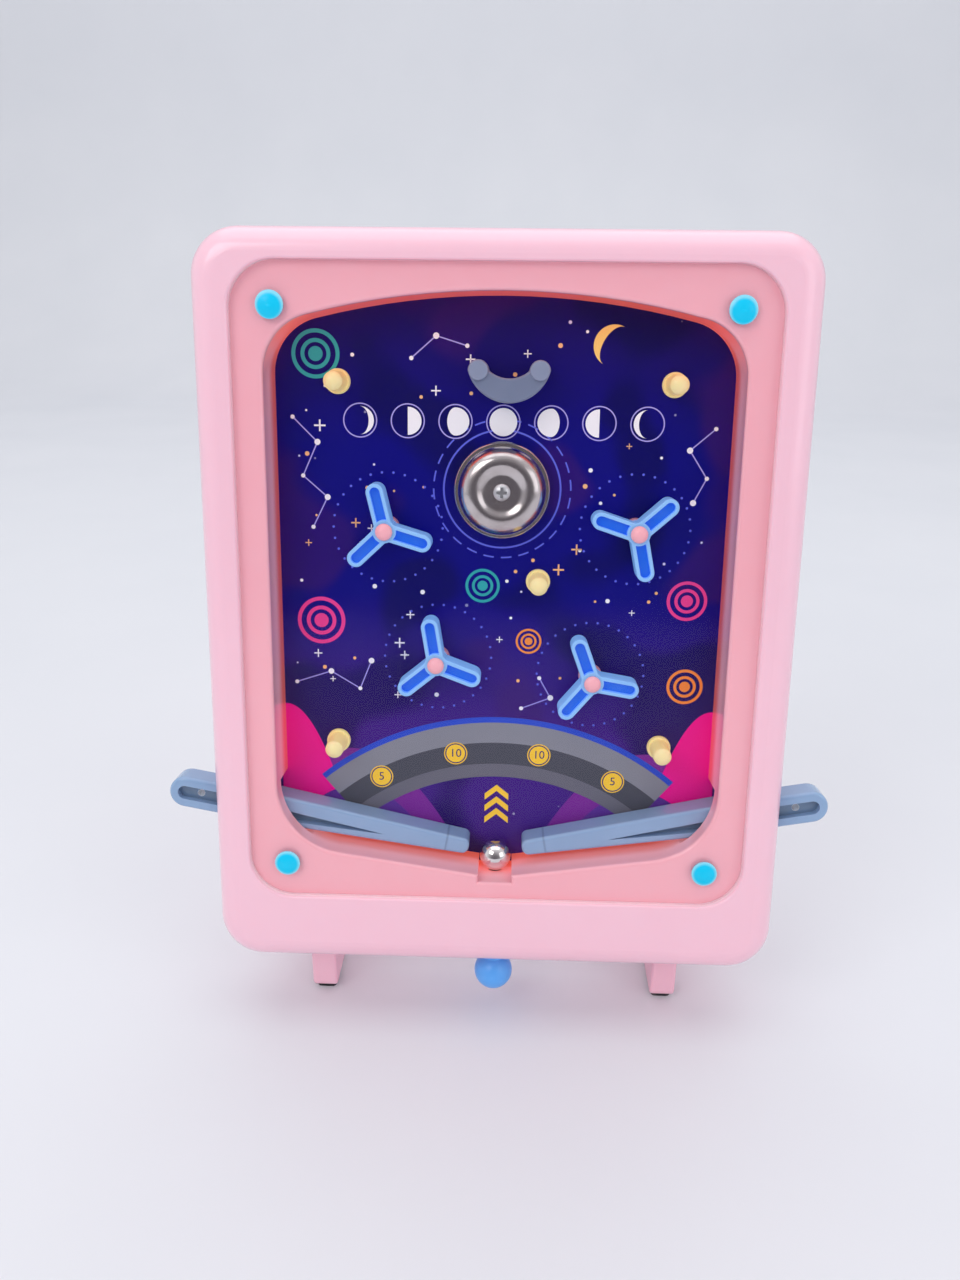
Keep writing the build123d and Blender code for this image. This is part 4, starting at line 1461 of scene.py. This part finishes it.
    def keeps_clear(self, place: Point) -> bool:
        """Whether a place is clear of the moons, the ripples and the rings round the bell.

        Args:
            place: The place.

        Returns:
            True where it is clear.
        """
        moons = [(*centre, 7.5) for centre in self.moons()]
        rings = [(x, h, radius + 2.5) for x, h, radius in self.ripples]
        taken = [*moons, *rings, (*self.bell, 25.0), (*self.crescent, 9.0)]
        return all(math.dist(place, (x, h)) > reach for x, h, reach in taken)

    def print_dots(self) -> None:
        """Scattered small dots and crosses."""
        draw = random.Random(self.seed)
        peach = InkLayer("print_dots_peach", Tone.PEACH, 2)
        white = InkLayer("print_dots_white", Tone.WHITE, 2)
        for layer, count in ((peach, 26), (white, 34)):
            drawn = ((draw.uniform(-70, 70), draw.uniform(90, 216)) for _ in range(5 * count))
            for place in [spot for spot in drawn if self.keeps_clear(spot)][:count]:
                size = draw.uniform(0.35, 0.8)
                if draw.random() < 0.35:
                    for run in ((2.4 * size, 0.0), (0.0, 2.4 * size)):
                        start = (place[0] - run[0], place[1] - run[1])
                        layer.line(start, (place[0] + run[0], place[1] + run[1]), 0.7 * size)
                else:
                    layer.disc(place, size, 14)
            layer.piece()


@dataclass
class Furniture(Assembly):
    """Pegs, catch cup, bell, ball, and the spinners and levers with their pins."""

    corners: tuple[str, ...] = ("upper_left", "upper_right", "lower_left", "lower_right")
    hands: tuple[str, ...] = ("left", "right")

    def outfit(self) -> dict[str, Slot | Finish]:
        """The finish of each node, or the slot that has it.

        Returns:
            It, by node.
        """
        chosen: dict[str, Slot | Finish] = {
            "peg_centre": Slot.PEG,
            "catch_cup": Slot.CUP,
            "bell_post": Slot.GUIDE,
            "bell": Slot.BELL,
            "bell_screw": Slot.STEEL,
            "ball": Slot.BALL,
        }
        for corner in self.corners:
            chosen[f"peg_{corner}"] = Slot.PEG
            chosen[f"spinner_pin_{corner}"] = Slot.PIN
            chosen[f"spinner_{corner}"] = Slot.SPINNER
        for hand in self.hands:
            chosen[f"flipper_pin_{hand}"] = Slot.STEEL
            chosen[f"flipper_{hand}"] = Slot.LEVER
        return chosen


@dataclass
class Plunger(Assembly):
    """The pull plunger with its wound spring, in millimetres on the case."""

    depth: float = 15.2
    spring_low: float = 4.25
    spring_high: float = 25.45
    coil: float = 4.0
    wire: float = 0.4
    turns: float = 8.0
    closed_turns: float = 1.0
    closed_pitch: float = 1.15
    travel: float = 8.0
    steps: int = 28
    sides: int = 10

    def coil_rise(self, turn: float) -> float:
        """Height of the wire's middle, close-wound at both ends.

        Args:
            turn: Turns from the lower end.

        Returns:
            The height.
        """
        low = self.spring_low + self.wire
        high = self.spring_high - self.wire
        flat = 2 * self.wire * self.closed_turns * self.closed_pitch
        if turn <= self.closed_turns:
            return low + flat * turn / self.closed_turns
        if turn >= self.turns - self.closed_turns:
            return high - flat * (self.turns - turn) / self.closed_turns
        share = (turn - self.closed_turns) / (self.turns - 2 * self.closed_turns)
        return low + flat + (high - low - 2 * flat) * share

    def wire_point(self, turn: float, around: float) -> Vector:
        """Point on the wire's skin.

        Args:
            turn: Turns from the lower end.
            around: Angle round the wire, in radians.

        Returns:
            The point in the row frame.
        """
        angle = math.tau * turn
        radius = self.coil + self.wire * math.cos(around)
        rise = self.coil_rise(turn) + self.wire * math.sin(around)
        depth = (self.depth + radius * math.sin(angle)) * MILLIMETRE
        return STANCE.spot(radius * math.cos(angle) * MILLIMETRE, rise * MILLIMETRE, depth)

    def build(self) -> None:
        """Winds the spring."""
        mesh = bmesh.new()
        angles = [math.tau * side / self.sides for side in range(self.sides)]
        rings: list[list[bmesh.types.BMVert]] = []
        for step in range(int(self.turns * self.steps) + 1):
            points = [self.wire_point(step / self.steps, around) for around in angles]
            rings.append([mesh.verts.new(point) for point in points])
        for one, two in zip(rings, rings[1:]):
            for here, after in round_trip(self.sides):
                mesh.faces.new((one[here], one[after], two[after], two[here]))
        mesh.faces.new(rings[0][::-1])
        mesh.faces.new(rings[-1])
        bmesh.ops.recalc_face_normals(mesh, faces=mesh.faces)
        for face in mesh.faces:
            face.smooth = True
        spring = link_mesh("wound_spring", mesh, FINISHES[Slot.STEEL])
        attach(spring, "case")
        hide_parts("plunger_spring")
        anchor = STANCE.spot(0.0, self.spring_low * MILLIMETRE, self.depth * MILLIMETRE)
        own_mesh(spring)
        LOG.info("wound the plunger spring")

    def outfit(self) -> dict[str, Slot | Finish]:
        """The finish of each node, or the slot that has it."""
        return {
            "plunger_rod": Slot.STEEL,
            "plunger_collar": Slot.GUIDE,
            "plunger_bush": Slot.GUIDE,
            "plunger_knob": Slot.KNOB,
        }


@dataclass
class Feet(Assembly):
    """The two swing-out feet with their pins and pads."""

    hands: tuple[str, ...] = ("left", "right")

    def outfit(self) -> dict[str, Slot | Finish]:
        """The finish of each node, or the slot that has it."""
        kinds = {"foot": BACK_PLASTIC, "foot_pin": Slot.STEEL, "foot_pads": Slot.PAD}
        return {f"{kind}_{hand}": kinds[kind] for kind in kinds for hand in self.hands}


@dataclass(frozen=True)
class PaleFloor(Finish):
    """Plain pale floor with a faint mottle."""

    name: str = "pale_floor"
    colour: Colour = shade(232, 233, 238)
    mottle: Colour = shade(224, 226, 232)
    mottle_scale: float = 6.0
    grain_scale: float = 300.0
    grain_depth: float = 0.00002

    def sockets(self, graph: Graph) -> dict[str, Any]:
        """Values and links of the Principled shader.

        Args:
            graph: The graph to fill.

        Returns:
            They, by socket.
        """
        soft = graph.noise(self.mottle_scale, 3.0)
        return {
            "Base Color": graph.mix(soft, self.colour, self.mottle),
            "Roughness": 0.5 + 0.1 * soft,
            "Normal": graph.bump(graph.noise(self.grain_scale, 2.0), self.grain_depth),
        }


@dataclass(frozen=True)
class Lamp:
    """One soft lamp, in metres and watts."""

    name: str
    place: tuple[float, float, float]
    size: tuple[float, float]
    power: float
    colour: Colour = (1.0, 1.0, 1.0)

    def build(self, aim: Vector) -> None:
        """Hangs the lamp.

        Args:
            aim: The point it shines at.
        """
        light = bpy.data.lights.new(self.name, "AREA")
        light.shape = "RECTANGLE"
        light.size, light.size_y = self.size
        light.energy = self.power
        light.color = self.colour
        holder = bpy.data.objects.new(self.name, light)
        holder.location = self.place
        holder.rotation_euler = (aim - Vector(self.place)).to_track_quat("-Z", "Y").to_euler()
        bpy.context.scene.collection.objects.link(holder)


@dataclass(frozen=True)
class PhotoCamera:
    """The photograph's camera, placed on the case in metres and turned in degrees."""

    lens: float = 38.25
    film: float = 36.0
    near: float = 0.01
    across: float = 0.00294
    height: float = 0.1937
    depth: float = -0.3186
    pitch: float = 13.509
    yaw: float = 1.568
    roll: float = 1.171

    def build(self) -> None:
        """Sets the camera up."""
        data = bpy.data.cameras.new("photo_camera")
        data.sensor_fit = "HORIZONTAL"
        data.sensor_width = self.film
        data.lens = self.lens
        data.clip_start = self.near
        turn = Matrix.Rotation(math.radians(self.roll), 3, "Z")
        turn = turn @ Matrix.Rotation(math.radians(self.yaw), 3, "Y")
        turn = turn @ Matrix.Rotation(math.radians(self.pitch), 3, "X")
        axes = (Vector((1, 0, 0)), -STANCE.upward, STANCE.inward)
        right, down, ahead = (sum((axes[i] * row[i] for i in range(3)), Vector()) for row in turn)
        holder = bpy.data.objects.new("photo_camera", data)
        pose = Matrix((right, -down, -ahead)).transposed().to_4x4()
        pose.translation = STANCE.spot(self.across, self.height, self.depth)
        holder.matrix_world = pose
        bpy.context.scene.collection.objects.link(holder)
        bpy.context.scene.camera = holder


@dataclass
class Studio:
    """Floor, backdrop, lamps, surrounding light and camera."""

    half_width: float = 3.0
    front: float = -2.0
    back: float = 1.4
    sweep: float = 0.6
    sweep_steps: int = 16
    wall: float = 2.4
    surround: float = 0.7
    surround_colour: Colour = (0.96, 0.97, 1.0)
    backdrop: Colour = shade(238, 240, 245)
    room: Colour = shade(96, 92, 100)
    aim: Vector = field(default_factory=lambda: Vector((0.0, 0.0, 0.14)))
    lamps: tuple[Lamp, ...] = (
        Lamp("key_lamp", (-0.75, -0.95, 1.05), (0.8, 0.6), 4.4, (1.0, 0.985, 0.97)),
        Lamp("fill_lamp", (0.95, -0.8, 0.55), (0.7, 0.7), 1.6, (0.97, 0.98, 1.0)),
        Lamp("top_lamp", (0.0, 0.3, 2.0), (2.4, 2.4), 16.0),
    )

    def build(self) -> None:
        """Builds the stage round the object."""
        self.lay_floor()
        self.light_world()
        for lamp in self.lamps:
            lamp.build(self.aim)
        PhotoCamera().build()
        bpy.context.scene.view_settings.view_transform = "Standard"
        LOG.info("set up floor, lamps and camera")

    def lay_floor(self) -> None:
        """Lays a floor that sweeps up into a backdrop."""
        profile = [(self.front, 0.0)]
        for step in range(self.sweep_steps + 1):
            angle = math.pi / 2 * step / self.sweep_steps
            rise = self.sweep * (1 - math.cos(angle))
            profile.append((self.back + self.sweep * math.sin(angle), rise))
        profile.append((self.back + self.sweep, self.wall))
        mesh = bmesh.new()
        ends = (-self.half_width, self.half_width)
        rows = [[mesh.verts.new((x, y, z)) for x in ends] for y, z in profile]
        for one, two in zip(rows, rows[1:]):
            mesh.faces.new((one[0], one[1], two[1], two[0])).smooth = True
        link_mesh("studio_floor", mesh, PaleFloor())

    def light_world(self) -> None:
        """Gives soft light all round and a pale surround to cameras and reflections."""
        world = bpy.data.worlds.new("studio_world")
        world.use_nodes = True
        graph = Graph(world.node_tree)
        path = graph.node("ShaderNodeLightPath", output="Is Camera Ray")
        glossy = path.sibling("Is Glossy Ray")
        ahead = graph.dot(graph.node("ShaderNodeTexCoord", output="Generated"), Vector((0, -1, 0)))
        room = graph.mix(ahead.beyond(0.7, 0.8), self.backdrop, self.room)
        shown = graph.node("ShaderNodeBackground", None, {0: solid(self.backdrop), 1: 1.0})
        mirrored = graph.node("ShaderNodeBackground", None, {0: room, 1: 1.0})
        soft = {0: solid(self.surround_colour), 1: self.surround}
        lit = graph.node("ShaderNodeBackground", None, soft)
        light = graph.node("ShaderNodeMixShader", None, {0: glossy, 1: lit, 2: mirrored})
        light = graph.node("ShaderNodeMixShader", None, {0: path, 1: light, 2: shown})
        graph.node("ShaderNodeOutputWorld", None, {"Surface": light})
        bpy.context.scene.world = world


def corners(box: Iterable[Vector]) -> list[list[float]]:
    """A box's two corners as plain lists."""
    return [[float(part) for part in corner] for corner in box]


def main() -> None:
    """Builds and dresses every sub-assembly, then the studio."""
    logging.basicConfig(level=logging.INFO, format="%(name)s: %(message)s")
    for assembly in (Case(), Playfield(), Furniture(), Plunger(), Feet()):
        assembly.build()
        assembly.dress()
        LOG.info("finished %s", type(assembly).__name__)
    Studio().build()


if __name__ == "__main__":
    main()
